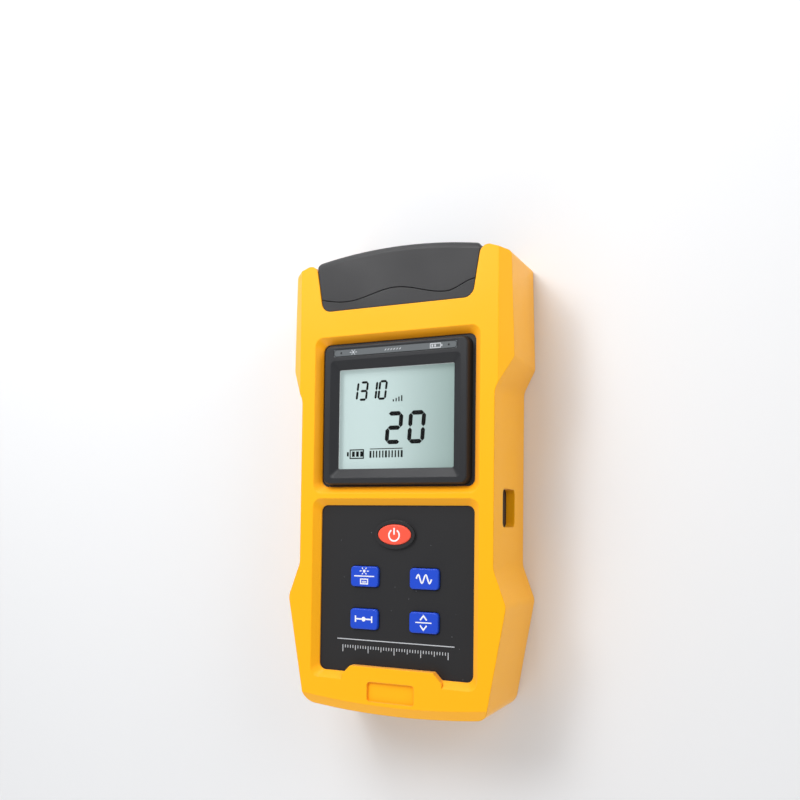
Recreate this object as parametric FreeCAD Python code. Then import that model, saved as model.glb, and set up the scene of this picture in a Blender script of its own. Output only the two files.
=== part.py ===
import FreeCAD, Part
import math
import os

from FreeCAD import Vector

# Handheld optical power meter in a rubber holster, lying on its back.
# X runs across the meter, Y along it from its bottom end to its connector end, Z out of its face.
# Y is counted from the bottom end while modelling, and each piece is centred when it is saved.

# Stack along the length
sill = 12.2              # bottom end to the keypad window
keypad_window = 67.4
bar = 2.0                # rubber between the two windows
display_window = 59.6
brow = 9.8               # display window to the notch for the connector end
neck_rise = 7.0          # notch floor to the top of the housing's end walls
cover_rise = 15.7        # end walls to the crest of the dust cover

# Widths, as half widths
housing_half = 35.7      # housing at the waist
end_inset = 2.55         # waist to the narrower bottom end
hip_flare = 4.75
shoulder_flare = 5.95
shoulder_draft = 1.6     # shoulders and ears close in towards the back
ear_taper = 1.1          # the sides close in a little from shoulder to ear
notch_half = 30.7
notch_slope = 0.1636     # the notch opens out by this share of its height
ear_rise = 15.75         # notch floor to the ear's outer corner
ear_crown = 0.343        # slope of the ear's top
ear_lean = 1.75          # the ear's top leans out towards the back
window_margin = 4.4      # housing side to window side

# Heights of the waist's corners
hip_y = 42.1
hip_run = 12.8           # hip to waist
waist_to_shoulder = 62.8
shoulder_run = 11.9

# Depths
holster_back = 2.2
housing_depth = 29.3
lip_rise = 3.05          # holster's face above the housing's face
holster_wall = 3.4
fit_gap = 0.15           # around the housing in the holster
back_gap = 0.2

# Edges
bottom_radius = 300.0
bottom_arc_inset = 5.34  # side of the bottom end to where its arc starts
end_corner = 5.0
hip_corner = 5.0
waist_corner = 7.0
shoulder_corner = 3.0
ear_corner = 1.6
ear_round = 3.2
notch_corner = 4.0
rear_chamfer = 0.6
facet_inset = 4.8        # bevelled front edge of the shoulders
facet_drop = 3.75
toe_run = 3.6            # bevelled front edge of the bottom end
toe_drop = 2.0
bevel_width = 2.5        # sloping sides of the windows
bevel_foot = 0.5
window_corner = 3.4
window_inner_corner = 2.6

# Tab and blank recess at the bottom of the keypad window
tab_top_half = 16.7
tab_foot_half = 20.3
tab_rise = 5.3
recess_half = 9.5
recess_height = 7.2
recess_depth = 0.9
recess_margin = 4.9

# Side slot for the charging plug
slot_centre_y = 76.45
slot_length = 13.9
slot_height = 13.7
slot_corner = 2.0

# Housing shells
shell_wall = 2.2
shell_split = 0.54       # share of the depth held by the rear shell
tongue_height = 1.0
tongue_width = 0.9
tongue_gap = 0.1
neck_corner = 1.0

# Connector end and dust cover
front_rise = 2.9         # neck and cover stand above the housing's face
cover_wall = 2.0
cover_gap = 0.3          # cover to ears
seam_gap = 0.3
wave_height = 1.75
wave_half = 20.4
wave_drop = 2.2          # middle of the wave below the end walls
left_wave_share = 0.5    # the wave stops half way up on the left
cover_brow_radius = 187.0
cover_corner = 2.6
cover_bevel_run = 2.6
cover_bevel_drop = 2.2
cover_lean = 2.2         # cover's crest ahead of its back edge
cover_heel = 6.0         # rounding of the back edge
cover_skirt = 12.0       # cover's block below the end walls, cut away at the seam
rib_half = 0.7           # ribs beside the cell
rib_top = 14.0
cell_wall_top = 20.0
pivot_drop = 1.8         # below the top of the end walls
pivot_z = 6.2
knuckle_radius = 2.8
pin_radius = 1.0
pin_gap = 0.05
knuckle_gap = 0.3
lug_width = 4.2
lug_reach = 4.3          # notch in the cover's back past the pivot
knuckle_inner = 14.2
knuckle_width = 9.8
swing_clearance = 1.7    # housing face behind the knuckles
shelf_z = 9.5
shelf_thickness = 1.8
plate_thickness = 2.0
plate_sink = 3.9         # plate face below the top of the end walls

# Display
frame_side_gap = 1.4     # holster window to the frame's foot
frame_low_gap = 0.3
frame_high_gap = 0.8
frame_rise = 3.6
frame_foot = 0.6         # wider foot of the frame
frame_rim = 2.7          # flat rim round the slope
frame_chin = 2.3
frame_head = 5.6
frame_slope = 3.0
lens_thickness = 1.2
lens_overlap = 1.2
lens_sink = 2.0          # lens face below the frame's face
lcd_thickness = 2.0
lcd_margin = 1.6
strip_half = 25.2
strip_height = 2.8
strip_depth = 0.6
strip_margin = 1.3
lamp_half = 22.0
lamp_radius = 0.8

# Keys
panel_thickness = 1.0
panel_margin = 1.8
key_pitch_x = 24.4
key_pitch_y = 15.8
key_width = 11.5
key_height = 7.6
key_corner = 1.4
key_rise = 1.2
key_travel = 1.0
key_gap = 0.15
key_row_y = 34.7
power_y = 66.3
power_half_x = 6.75
power_half_y = 3.8
power_rim = 1.5
power_rim_rise = 0.9
power_key_rise = 0.3     # cap above its rim
key_round = 0.5
flange_width = 1.1
flange_thickness = 0.8
mat_thickness = 0.6
web_thickness = 0.4

# Board, battery and fasteners
board_thickness = 1.6
board_gap = 3.9          # board to the inside of the front shell
board_side_gap = 4.2     # housing side to the board
board_margin = 3.0
board_clearance = 0.8    # board to the shell's end wall
cell_radius = 9.2
cell_length = 65.0
cell_low_y = 32.0
door_half = 14.3
door_gap = 0.2
door_step = 1.2
door_foot = 8.0          # door past the cell at its screw end
door_head = 5.5          # and at its other end
door_screw_inset = 2.8
contact_half = 5.0
contact_thickness = 0.8
contact_lift = 2.0
contact_rise = 4.0
screw_radius = 1.25
screw_head_radius = 2.3
screw_head_height = 1.7
screw_gap = 0.05
boss_radius = 2.8
hip_screw_inset = 0.5    # from the housing's side at the waist
shoulder_screw_outset = 0.3
hip_screw_drop = 4.0
shoulder_screw_rise = 3.4
board_screw_inset = 3.5
board_screw_radius = 0.85
board_post_radius = 2.4

# Ports
port_spacing = 16.0
port_z = 18.0
ferrule_radius = 1.26
ferrule_depth = 12.0
port_reach = 10.0        # nose past the end plate
jack_inset = 7.6         # board's side to the jack
jack_width = 15.8
jack_depth = 16.0
jack_reach = 2.0
socket_width = 8.94
socket_height = 3.2
socket_length = 7.4
socket_sink = 0.4        # socket's mouth behind the housing's side
socket_shell = 0.3
socket_tongue = 0.7
charge_board_reach = 16.7  # housing side to the small board's inner edge
charge_board_half = 11.0
charge_board_thickness = 1.2
charge_post_inset = 11.7
charge_post_half = 8.0
charge_post_radius = 2.0
charge_hole_radius = 0.8
laser_radius = 3.6
laser_length = 14.0
laser_tail_radius = 2.6
laser_tail = 4.0
port_tail = 8.0          # port behind the end plate's face
port_lead = 0.6
port_flange_radius = 5.6
port_flange_height = 1.6
fault_nose_radius = 3.2
fault_flange_radius = 5.0
fault_flange_height = 1.2
fault_step = 2.4
port_radius = 4.0
nut_radius = 5.6
nut_height = 2.2
detector_radius = 2.7
detector_rim = 0.5
detector_height = 3.6
detector_leg = 5.5
buzzer_radius = 6.0
buzzer_height = 4.5
buzzer_hole = 1.0
buzzer_inset = 11.5      # from the board's side
buzzer_drop = 18.0       # below the holster's brow
chip_thickness = 1.3
# Chips as side, inset from the board's side, height above the sill, width and height
chip_places = ((1, 12.5, 88.0, 10.0, 10.0), (-1, 11.0, 48.0, 7.0, 6.0), (1, 14.0, 32.0, 5.0, 6.0))

# Worked out from the sizes above
bar_y = sill + keypad_window
display_y = bar_y + bar
brow_y = display_y + display_window
notch_y = brow_y + brow
deck_y = notch_y + neck_rise
length = deck_y + cover_rise
waist_half = housing_half + fit_gap + holster_wall
bottom_slope = math.degrees(math.asin((waist_half - end_inset - bottom_arc_inset) / bottom_radius))
hip_half = waist_half + hip_flare
shoulder_half = waist_half + shoulder_flare
waist_low_y = hip_y + hip_run
waist_high_y = waist_low_y + waist_to_shoulder
shoulder_y = waist_high_y + shoulder_run
ear_half = shoulder_half - ear_taper
ear_y = notch_y + ear_rise
window_half = housing_half - window_margin
housing_z = holster_back + back_gap
face_z = housing_z + housing_depth
front_z = face_z + lip_rise
neck_z = face_z + front_rise
split_z = housing_z + housing_depth * shell_split
inner_front_z = face_z - shell_wall
board_top_z = inner_front_z - board_gap
board_low_z = board_top_z - board_thickness
board_half = housing_half - board_side_gap
hip_screw_x = housing_half - hip_screw_inset
shoulder_screw_x = housing_half + shoulder_screw_outset
board_screw_x = board_half - board_screw_inset
jack_x = board_half - jack_inset - jack_width / 2
charge_post_x = housing_half - charge_post_inset
pivot_y = deck_y - pivot_drop
plate_y = deck_y - plate_sink
hinge_deck_y = pivot_y - knuckle_radius - swing_clearance
frame_front_z = face_z + frame_rise
side_top_z = front_z - facet_drop
frame_half = window_half - frame_side_gap - frame_foot
frame_low_y = display_y + bevel_width + frame_low_gap + frame_foot
frame_high_y = brow_y - bevel_width - frame_high_gap - frame_foot
glass_half = frame_half - frame_rim - frame_slope
glass_low_y = frame_low_y + frame_chin + frame_slope + 0.4
glass_high_y = frame_high_y - frame_head - frame_slope - 0.3
lens_z = frame_front_z - lens_sink
big = 400.0


# A closed wire of straight runs, with each corner (x, y, radius) rounded by a tangent arc
def rounded_wire(corners, z):
    arcs = []
    count = len(corners)
    for i in range(count):
        before = Vector(corners[i - 1][0], corners[i - 1][1], z)
        here = Vector(corners[i][0], corners[i][1], z)
        after = Vector(corners[(i + 1) % count][0], corners[(i + 1) % count][1], z)
        radius = corners[i][2]
        back = (before - here).normalize()
        ahead = (after - here).normalize()
        half_angle = back.getAngle(ahead) / 2
        reach = radius / math.tan(half_angle)
        bulge = radius / math.sin(half_angle) - radius
        middle = here + (back + ahead).normalize() * bulge
        arcs.append((here + back * reach, middle, here + ahead * reach))
    edges = []
    for i in range(count):
        start, middle, end = arcs[i]
        if corners[i][2] > 0:
            edges.append(Part.Arc(start, middle, end).toShape())
        following = arcs[(i + 1) % count][0]
        if end.distanceToPoint(following) > 1e-5:
            edges.append(Part.makeLine(end, following))
    return Part.Wire(edges)


# The same corners moved inwards, for a list that runs anticlockwise
def inset(corners, depth):
    moved = []
    count = len(corners)
    for i in range(count):
        before = Vector(corners[i - 1][0], corners[i - 1][1], 0)
        here = Vector(corners[i][0], corners[i][1], 0)
        after = Vector(corners[(i + 1) % count][0], corners[(i + 1) % count][1], 0)
        come = (here - before).normalize()
        go = (after - here).normalize()
        come_in = Vector(-come.y, come.x, 0)
        go_in = Vector(-go.y, go.x, 0)
        shift = (come_in + go_in) * (depth / (1 + come_in.dot(go_in)))
        turn = come.x * go.y - come.y * go.x
        radius = corners[i][2]
        if radius > 0 and turn > 0:
            radius = max(radius - depth, 0.3)
        elif radius > 0:
            radius = max(radius + depth, 0.3)
        moved.append((here.x + shift.x, here.y + shift.y, radius))
    return moved


def mirrored(right):
    return right + [(-x, y, r) for x, y, r in reversed(right)]


def prism(corners, low, high):
    face = Part.Face(rounded_wire(corners, low))
    return face.extrude(Vector(0, 0, high - low))


def taper(low_corners, low, high_corners, high):
    wires = [rounded_wire(low_corners, low), rounded_wire(high_corners, high)]
    return Part.makeLoft(wires, True, True)


def rectangle(half, low_y, high_y, radius, centre=0.0):
    return [(centre - half, low_y, radius), (centre + half, low_y, radius),
            (centre + half, high_y, radius), (centre - half, high_y, radius)]


def box(low_x, high_x, low_y, high_y, low_z, high_z):
    size = (high_x - low_x, high_y - low_y, high_z - low_z)
    return Part.makeBox(size[0], size[1], size[2], Vector(low_x, low_y, low_z))


def upright(radius, x, y, low, high):
    return Part.makeCylinder(radius, high - low, Vector(x, y, low))


def along(radius, x, z, low_y, high_y):
    return Part.makeCylinder(radius, high_y - low_y, Vector(x, low_y, z), Vector(0, 1, 0))


def across(radius, y, z, low_x, high_x):
    return Part.makeCylinder(radius, high_x - low_x, Vector(low_x, y, z), Vector(1, 0, 0))


def ellipse_prism(half_x, half_y, x, y, low, high):
    ellipse = Part.Ellipse(Vector(x, y, low), half_x, half_y)
    return Part.Face(Part.Wire([ellipse.toShape()])).extrude(Vector(0, 0, high - low))


def both_sides(shape):
    return shape.fuse(shape.mirror(Vector(0, 0, 0), Vector(1, 0, 0)))


def clean(shape):
    return shape.removeSplitter()


# Lower corners shared by the holster and the housing, anticlockwise from the bottom's middle
def bottom_corner_y(half):
    dip = bottom_radius * (1 - 1 / math.cos(math.radians(bottom_slope)))
    return dip + half * math.tan(math.radians(bottom_slope))


def lower_side(draft):
    end_half = waist_half - end_inset
    shoulder_share = (shoulder_flare - draft) / shoulder_flare
    return [(end_half, bottom_corner_y(end_half), end_corner),
            (hip_half, hip_y, hip_corner),
            (waist_half, waist_low_y, waist_corner),
            (waist_half, shoulder_y - shoulder_run * shoulder_share, waist_corner),
            (shoulder_half - draft, shoulder_y, shoulder_corner)]


def bottom_middle():
    return [(0, bottom_corner_y(0), bottom_radius)]


# Half width of the notch between the ears at a height
def notch_at(y):
    return notch_half + (y - notch_y) * notch_slope


def holster_corners(draft):
    ear_side_y = ear_y + ear_lean * draft / shoulder_draft
    ear_top_y = ear_side_y + (ear_half - notch_at(ear_side_y)) * ear_crown
    ear_in = notch_at(ear_top_y)
    right = lower_side(draft) + [(ear_half - draft, ear_side_y, ear_corner), (ear_in, ear_top_y, ear_round),
                                 (notch_half, notch_y, notch_corner)]
    return bottom_middle() + mirrored(right)


def housing_corners():
    sleeve = bottom_middle() + mirrored(lower_side(0) + [(ear_half, notch_y, notch_corner)])
    hugged = inset(sleeve, holster_wall + fit_gap)
    neck_half = notch_half - fit_gap
    right = hugged[1:7] + [(neck_half, hugged[6][1], 0.5), (neck_half, deck_y, neck_corner)]
    return hugged[:1] + mirrored(right)


# Wavy line where the dust cover meets the neck: cosine waves, lower at the left end
def seam_y(x):
    middle_y = deck_y - wave_drop
    if abs(x) < wave_half:
        return middle_y + wave_height * math.cos(math.pi * x / wave_half)
    side = min((abs(x) - wave_half) / (notch_at(deck_y) - wave_half), 1.0)
    if x < 0:
        side = side * left_wave_share
    return middle_y - wave_height * math.cos(math.pi * side)


# Everything on one side of the seam, as a thick slab to keep or cut
def beyond_seam(shift, far_y, low, high):
    edge = notch_at(deck_y)
    steps = 24
    points = []
    for i in range(steps + 1):
        x = -edge + 2 * edge * i / steps
        points.append(Vector(x, seam_y(x) + shift, low))
    curve = Part.BSplineCurve()
    curve.interpolate(points)
    corners = [points[-1], Vector(big, points[-1].y, low), Vector(big, far_y, low),
               Vector(-big, far_y, low), Vector(-big, points[0].y, low), points[0]]
    edges = [curve.toShape()]
    for i in range(len(corners) - 1):
        edges.append(Part.makeLine(corners[i], corners[i + 1]))
    return Part.Face(Part.Wire(edges)).extrude(Vector(0, 0, high - low))


# Rubber boot round the housing
def make_holster():
    front = holster_corners(0)
    middle = holster_corners(shoulder_draft)
    body = taper(inset(middle, rear_chamfer), 0, middle, rear_chamfer)
    body = body.fuse(taper(middle, rear_chamfer, front, side_top_z))
    body = body.fuse(prism(front, side_top_z, front_z))
    body = body.cut(prism(inset(housing_corners(), -fit_gap), holster_back, face_z + 0.05))
    windows = ((sill, keypad_window), (display_y, display_window))
    for low, height in windows:
        wide = rectangle(window_half + bevel_width, low, low + height, window_corner)
        narrow = [(x, y, window_inner_corner) for x, y, r in inset(wide, bevel_width)]
        body = body.cut(taper(narrow, face_z + bevel_foot, wide, front_z))
        body = body.cut(prism(narrow, face_z - 1, face_z + bevel_foot))
    body = body.fuse(prism([(-tab_foot_half, sill - 1, 0), (tab_foot_half, sill - 1, 0),
                            (tab_foot_half, sill + tab_rise - 3.6, 0.6),
                            (tab_top_half, sill + tab_rise, 0.6), (-tab_top_half, sill + tab_rise, 0.6),
                            (-tab_foot_half, sill + tab_rise - 3.6, 0.6)], face_z + 0.05, front_z))
    recess = rectangle(recess_half, recess_margin, recess_margin + recess_height, 1.2)
    body = body.cut(prism(recess, front_z - recess_depth, front_z + 1))
    body = body.cut(shoulder_facet())
    body = body.cut(toe_cutter())
    body = body.cut(side_slot())
    rear_window = rectangle(door_half + 5.5, cell_low_y - 12, cell_low_y + cell_length + 11, 6.0)
    body = body.cut(prism(rear_window, -1, holster_back + 1))
    swing = rectangle(notch_half + 3.5, hinge_deck_y - 5.5, length + 10, 3.0)
    body = body.cut(prism(swing, -1, pivot_z + 1.3))
    return clean(body)


# Long bevel on the front edge of each shoulder and ear
def shoulder_facet():
    edge = shoulder_half - facet_inset
    run = facet_inset * 1.5
    start_y = waist_high_y - 1
    points = [Vector(edge, start_y, front_z), Vector(edge + run, start_y, front_z - facet_drop * 1.5),
              Vector(edge + run, start_y, front_z + 4), Vector(edge, start_y, front_z + 4)]
    face = Part.Face(Part.makePolygon(points + points[:1]))
    return both_sides(face.extrude(Vector(0, length - start_y, 0)))


# Bevel along the curved bottom end, turned about the centre of its arc
def toe_cutter():
    rim = bottom_radius
    beyond = 5.0
    low_z = front_z - toe_drop * (toe_run + beyond) / toe_run
    points = [Vector(0, -rim + toe_run, front_z), Vector(0, -rim - beyond, front_z + 8),
              Vector(0, -rim - beyond, low_z)]
    face = Part.Face(Part.makePolygon(points + points[:1]))
    face.translate(Vector(0, bottom_radius, 0))
    half_turn = 9.0
    face.rotate(Vector(0, bottom_radius, 0), Vector(0, 0, 1), -half_turn)
    return face.revolve(Vector(0, bottom_radius, 0), Vector(0, 0, 1), 2 * half_turn)


def side_slot():
    z = split_z
    low = slot_centre_y - slot_length / 2
    slot = rectangle(slot_height / 2, low, low + slot_length, slot_corner)
    cutter = prism(slot, 0, holster_wall + 3)
    cutter.rotate(Vector(0, 0, 0), Vector(0, 1, 0), 90)
    cutter.translate(Vector(housing_half - 1, 0, z))
    return cutter


# Posts and screws that hold the two shells together
def shell_screw_places():
    places = ((hip_screw_x, hip_y - hip_screw_drop), (shoulder_screw_x, shoulder_y + shoulder_screw_rise))
    return [(side * x, y) for x, y in places for side in (-1, 1)]


def board_screw_places():
    return [(side * board_screw_x, y) for y in (sill + 6.0, brow_y + 2.0) for side in (-1, 1)]


# Space inside the neck, open at the end
def port_bay(low, high):
    half = notch_half - fit_gap - shell_wall
    return box(-half, half, hinge_deck_y - shell_wall - 4, big, low, high)


# Step in the rear face that the dust cover swings past
def hinge_relief():
    return box(-big, big, hinge_deck_y, big, -1, shelf_z)


def make_front_housing():
    outline = housing_corners()
    body = prism(outline, split_z, face_z)
    body = body.cut(prism(inset(outline, shell_wall), split_z - 1, inner_front_z))
    pad_low = notch_y + fit_gap
    pad_high = deck_y + 4
    pad_half = notch_at(pad_high) - cover_gap
    pad_corner = notch_corner - fit_gap
    pad = [(-notch_half + fit_gap, pad_low, pad_corner), (notch_half - fit_gap, pad_low, pad_corner),
           (pad_half, pad_high, 0), (-pad_half, pad_high, 0)]
    body = body.fuse(prism(pad, face_z - 0.5, neck_z))
    body = body.cut(beyond_seam(0, big, inner_front_z, neck_z + 1))
    body = body.cut(box(-big, big, deck_y, big, 0, neck_z - shell_wall))
    body = body.cut(port_bay(split_z - 1, inner_front_z))
    wall_half = notch_half - fit_gap - shell_wall
    body = body.cut(box(-wall_half, wall_half, plate_y - plate_thickness - 0.2, big,
                        inner_front_z - 1, neck_z - shell_wall))
    for x, y in shell_screw_places():
        boss = upright(boss_radius, x, y, split_z, inner_front_z + 0.2)
        body = body.fuse(boss.common(prism(inset(outline, 0.2), split_z, face_z)))
        body = body.cut(upright(screw_radius + screw_gap, x, y, split_z - 1, inner_front_z - 1.5))
    groove_top = split_z + tongue_height + tongue_gap
    groove = prism(inset(outline, shell_wall / 2 - tongue_gap), split_z - 1, groove_top)
    groove = groove.common(box(-big, big, -big, notch_y, -big, big))
    body = body.cut(groove.cut(prism(inset(outline, shell_wall), split_z - 2, split_z + 9)))
    for x, y in board_screw_places():
        body = body.fuse(upright(board_post_radius, x, y, board_top_z, inner_front_z + 0.2))
        body = body.cut(upright(board_screw_radius + screw_gap, x, y, board_top_z - 1, inner_front_z - 0.5))
    body = body.cut(prism(keypad_panel_corners(0), face_z - panel_thickness, face_z + 1))
    for cutter in key_cutters(key_gap, inner_front_z - 1, face_z + 1):
        body = body.cut(cutter)
    body = body.cut(prism(lcd_corners(0.4), inner_front_z - 1, face_z + 1))
    for x in (-lamp_half, lamp_half):
        body = body.cut(upright(lamp_radius + 0.1, x, strip_y(), inner_front_z - 1, face_z + 1))
    body = body.cut(socket_mouth())
    return clean(body)


def make_rear_housing():
    outline = housing_corners()
    body = prism(outline, housing_z, split_z)
    body = body.cut(prism(inset(outline, shell_wall), housing_z + shell_wall, split_z + 1))
    tongue = prism(inset(outline, shell_wall - tongue_width), split_z - 1, split_z + tongue_height)
    tongue = tongue.cut(prism(inset(outline, shell_wall), split_z - 2, split_z + 9))
    body = body.fuse(tongue.common(box(-big, big, -big, notch_y - tongue_gap, -big, big)))
    body = body.cut(port_bay(shelf_z + shelf_thickness, split_z + 3))
    body = body.cut(hinge_relief())
    wall_half = notch_half - fit_gap
    shelf_low = hinge_deck_y - shell_wall
    shelf_top = shelf_z + shelf_thickness
    back_wall = box(-wall_half, wall_half, shelf_low, hinge_deck_y, housing_z, shelf_top)
    shelf = box(-wall_half, wall_half, shelf_low, deck_y, shelf_z, shelf_top)
    body = body.fuse([back_wall, shelf])
    for low in (knuckle_inner - knuckle_gap - lug_width, knuckle_inner + knuckle_width + knuckle_gap):
        lug = across(knuckle_radius, pivot_y, pivot_z, low, low + lug_width)
        web = box(low, low + lug_width, hinge_deck_y - 0.5, pivot_y, pivot_z - knuckle_radius, shelf_z + 0.5)
        body = body.fuse(both_sides(lug.fuse(web)))
    body = body.cut(across(pin_radius + 0.02, pivot_y, pivot_z, -big, big))
    for x, y in shell_screw_places():
        post = upright(boss_radius, x, y, housing_z, split_z - 0.2)
        body = body.fuse(post.common(prism(inset(outline, 0.2), housing_z, split_z)))
        body = body.cut(upright(screw_radius + 0.15, x, y, 0, split_z))
        body = body.cut(upright(screw_head_radius + 0.15, x, y, 0, housing_z + screw_head_height + 0.6))
    low = cell_low_y - door_foot
    high = cell_low_y + cell_length + door_head
    floor_z = housing_z + shell_wall - 0.2
    rib_x = cell_radius + 1.6
    for side in (-rib_x, rib_x):
        body = body.fuse(box(side - rib_half, side + rib_half, cell_low_y - 2, cell_low_y + cell_length + 2,
                             floor_z, rib_top))
    for y in (cell_low_y - 3.0, cell_low_y + cell_length + 1.6):
        body = body.fuse(box(-rib_x - rib_half, rib_x + rib_half, y, y + 1.4, floor_z, cell_wall_top))
    body = body.cut(prism(rectangle(door_half + door_gap, low, high, 2.5), 0, housing_z + door_step))
    mouth = rectangle(cell_radius + 0.6, cell_low_y - 0.8, cell_low_y + cell_length + 0.8, 1.0)
    body = body.cut(prism(mouth, 0, housing_z + shell_wall + 0.4))
    boss = upright(2.6, 0, door_screw_place(), housing_z + door_step, housing_z + 8.0)
    body = body.fuse(boss).cut(upright(0.95, 0, door_screw_place(), housing_z, housing_z + 7.0))
    for y in charge_post_places():
        body = body.fuse(upright(charge_post_radius, charge_post_x, y, floor_z, charge_board_z()))
    body = body.cut(socket_mouth())
    return clean(body)


def door_screw_place():
    return cell_low_y - door_foot + door_screw_inset


# Charging socket, on its own small board at the height of the side slot
def charge_board_z():
    return split_z - socket_height / 2 - charge_board_thickness


def charge_post_places():
    return [slot_centre_y - charge_post_half, slot_centre_y + charge_post_half]


def socket_corners(grow):
    half = socket_width / 2 + grow
    return rectangle(socket_height / 2 + grow, slot_centre_y - half, slot_centre_y + half, 1.2 + grow)


def sideways(corners, low_x, high_x):
    block = prism(corners, 0, high_x - low_x)
    block.rotate(Vector(0, 0, 0), Vector(0, 1, 0), 90)
    block.translate(Vector(low_x, 0, split_z))
    return block


def socket_mouth():
    return sideways(socket_corners(0.2), housing_half - shell_wall - 1, housing_half + 1)


def make_charge_socket():
    tip = housing_half - socket_sink
    shell = sideways(socket_corners(0), tip - socket_length, tip)
    shell = shell.cut(sideways(socket_corners(-socket_shell), tip - socket_length + 1, tip + 1))
    half = socket_width / 2 - 1.17
    tongue = box(tip - socket_length + 0.5, tip - 1.0, slot_centre_y - half, slot_centre_y + half,
                 split_z - socket_tongue / 2, split_z + socket_tongue / 2)
    return clean(shell.fuse(tongue))


def make_charge_board():
    z = charge_board_z()
    board = box(housing_half - charge_board_reach, housing_half - shell_wall - 0.5,
                slot_centre_y - charge_board_half, slot_centre_y + charge_board_half,
                z, z + charge_board_thickness)
    for y in charge_post_places():
        board = board.cut(upright(charge_hole_radius, charge_post_x, y, z - 1, split_z))
    return board


# Dust cover: a shell turned about the centre of its arched brow, cut to the taper between the ears
def cover_block(wall):
    crest = length - wall
    front = neck_z - wall
    rear = pivot_z - knuckle_radius + wall
    crest_z = neck_z - cover_bevel_drop - wall * 0.3
    low = deck_y - cover_skirt
    heel = cover_heel - wall
    centre_y = length - cover_brow_radius
    profile = [Part.makeLine(Vector(0, low, front), Vector(0, crest - cover_bevel_run, front))]
    start = Vector(0, crest - cover_bevel_run, front)
    middle = Vector(0, crest - cover_bevel_run * 0.36, front - cover_bevel_drop * 0.36)
    top = Vector(0, crest, crest_z)
    profile.append(Part.Arc(start, middle, top).toShape())
    shoulder = Vector(0, crest - cover_lean, rear + heel)
    profile.append(Part.makeLine(top, shoulder))
    bend = Vector(0, crest - cover_lean - heel * 0.35, rear + heel * 0.3)
    back = Vector(0, crest - cover_lean - heel, rear)
    profile.append(Part.Arc(shoulder, bend, back).toShape())
    profile.append(Part.makeLine(back, Vector(0, low, rear)))
    profile.append(Part.makeLine(Vector(0, low, rear), Vector(0, low, front)))
    face = Part.Face(Part.Wire(profile))
    half_turn = 13.0
    face.rotate(Vector(0, centre_y, 0), Vector(0, 0, 1), -half_turn)
    block = face.revolve(Vector(0, centre_y, 0), Vector(0, 0, 1), 2 * half_turn)
    low_half = notch_at(low) - cover_gap - wall
    brow_radius = cover_brow_radius - wall
    corner_half = notch_at(length) - cover_gap - wall
    for turn in range(3):    # closes in on where the brow's arc meets the side
        corner_y = centre_y + math.sqrt(brow_radius ** 2 - corner_half ** 2)
        corner_half = notch_at(corner_y) - cover_gap - wall
    peak_y = corner_y + corner_half ** 2 / (corner_y - centre_y)
    corner = max(cover_corner - wall, 0.5)
    sides = [(-low_half, low, 0), (low_half, low, 0), (corner_half, corner_y, corner), (0, peak_y, 0),
             (-corner_half, corner_y, corner)]
    return block.common(prism(sides, 0, front_z + 5))


def make_dust_cover():
    cover = cover_block(0).cut(cover_block(cover_wall))
    side_y = deck_y + seam_gap
    cover = cover.cut(box(-big, big, 0, side_y, -1, neck_z - cover_wall - 0.3))
    cover = cover.cut(beyond_seam(seam_gap, 0, neck_z - cover_wall - 0.3, neck_z + 1))
    rear = pivot_z - knuckle_radius
    for low in (knuckle_inner - 2 * knuckle_gap - lug_width, knuckle_inner + knuckle_width):
        notch = box(low, low + lug_width + 2 * knuckle_gap, 0, pivot_y + lug_reach, rear - 1,
                    pivot_z + knuckle_radius)
        cover = cover.cut(both_sides(notch))
    knuckle = across(knuckle_radius, pivot_y, pivot_z, knuckle_inner, knuckle_inner + knuckle_width)
    web = box(knuckle_inner, knuckle_inner + knuckle_width, pivot_y, side_y + 1.5, rear, rear + cover_wall)
    cover = cover.fuse(both_sides(knuckle.fuse(web)))
    cover = cover.cut(across(pin_radius + pin_gap, pivot_y, pivot_z, -big, big).common(
        box(-26, 26, pivot_y - 2, pivot_y + 2, pivot_z - 2, pivot_z + 2)))
    return clean(cover)


def make_cover_pin():
    reach = knuckle_inner + knuckle_width + knuckle_gap + lug_width - 0.3
    return across(pin_radius, pivot_y, pivot_z, -reach, reach)


# End plate that carries the ports, inside the neck
def make_end_plate():
    half = notch_half - fit_gap - shell_wall - 0.1
    plate = box(-half, half, plate_y - plate_thickness, plate_y, shelf_z + shelf_thickness + 0.1,
                neck_z - shell_wall - 0.1)
    for x in (-port_spacing, 0):
        plate = plate.cut(along(port_radius + 0.1, x, port_z, 0, big))
    plate = plate.cut(box(jack_x - jack_width / 2 - 0.1, jack_x + jack_width / 2 + 0.1, 0, big,
                          jack_low_z() - 0.1, board_low_z + 0.1))
    return plate


def jack_low_z():
    return shelf_z + shelf_thickness + 0.3


def make_optical_port():
    port = along(port_radius, -port_spacing, port_z, plate_y - port_tail, plate_y + port_reach)
    port = port.fuse(along(port_flange_radius, -port_spacing, port_z, plate_y, plate_y + port_flange_height))
    return port.cut(ferrule_bore(-port_spacing))


def ferrule_bore(x):
    mouth = plate_y + port_reach
    bore = along(ferrule_radius, x, port_z, mouth - ferrule_depth, mouth + 1)
    start = Vector(x, mouth - port_lead, port_z)
    wide = ferrule_radius + port_lead
    return bore.fuse(Part.makeCone(ferrule_radius, wide, port_lead, start, Vector(0, 1, 0)))


def hex_nut(x):
    low = plate_y - plate_thickness - nut_height
    points = [Vector(x + nut_radius * math.cos(math.radians(60 * i)), low,
                     port_z + nut_radius * math.sin(math.radians(60 * i))) for i in range(7)]
    nut = Part.Face(Part.makePolygon(points)).extrude(Vector(0, nut_height, 0))
    return nut.cut(along(port_radius + 0.02, x, port_z, 0, big))


def make_port_nuts():
    return Part.makeCompound([hex_nut(-port_spacing), hex_nut(0)])


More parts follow.
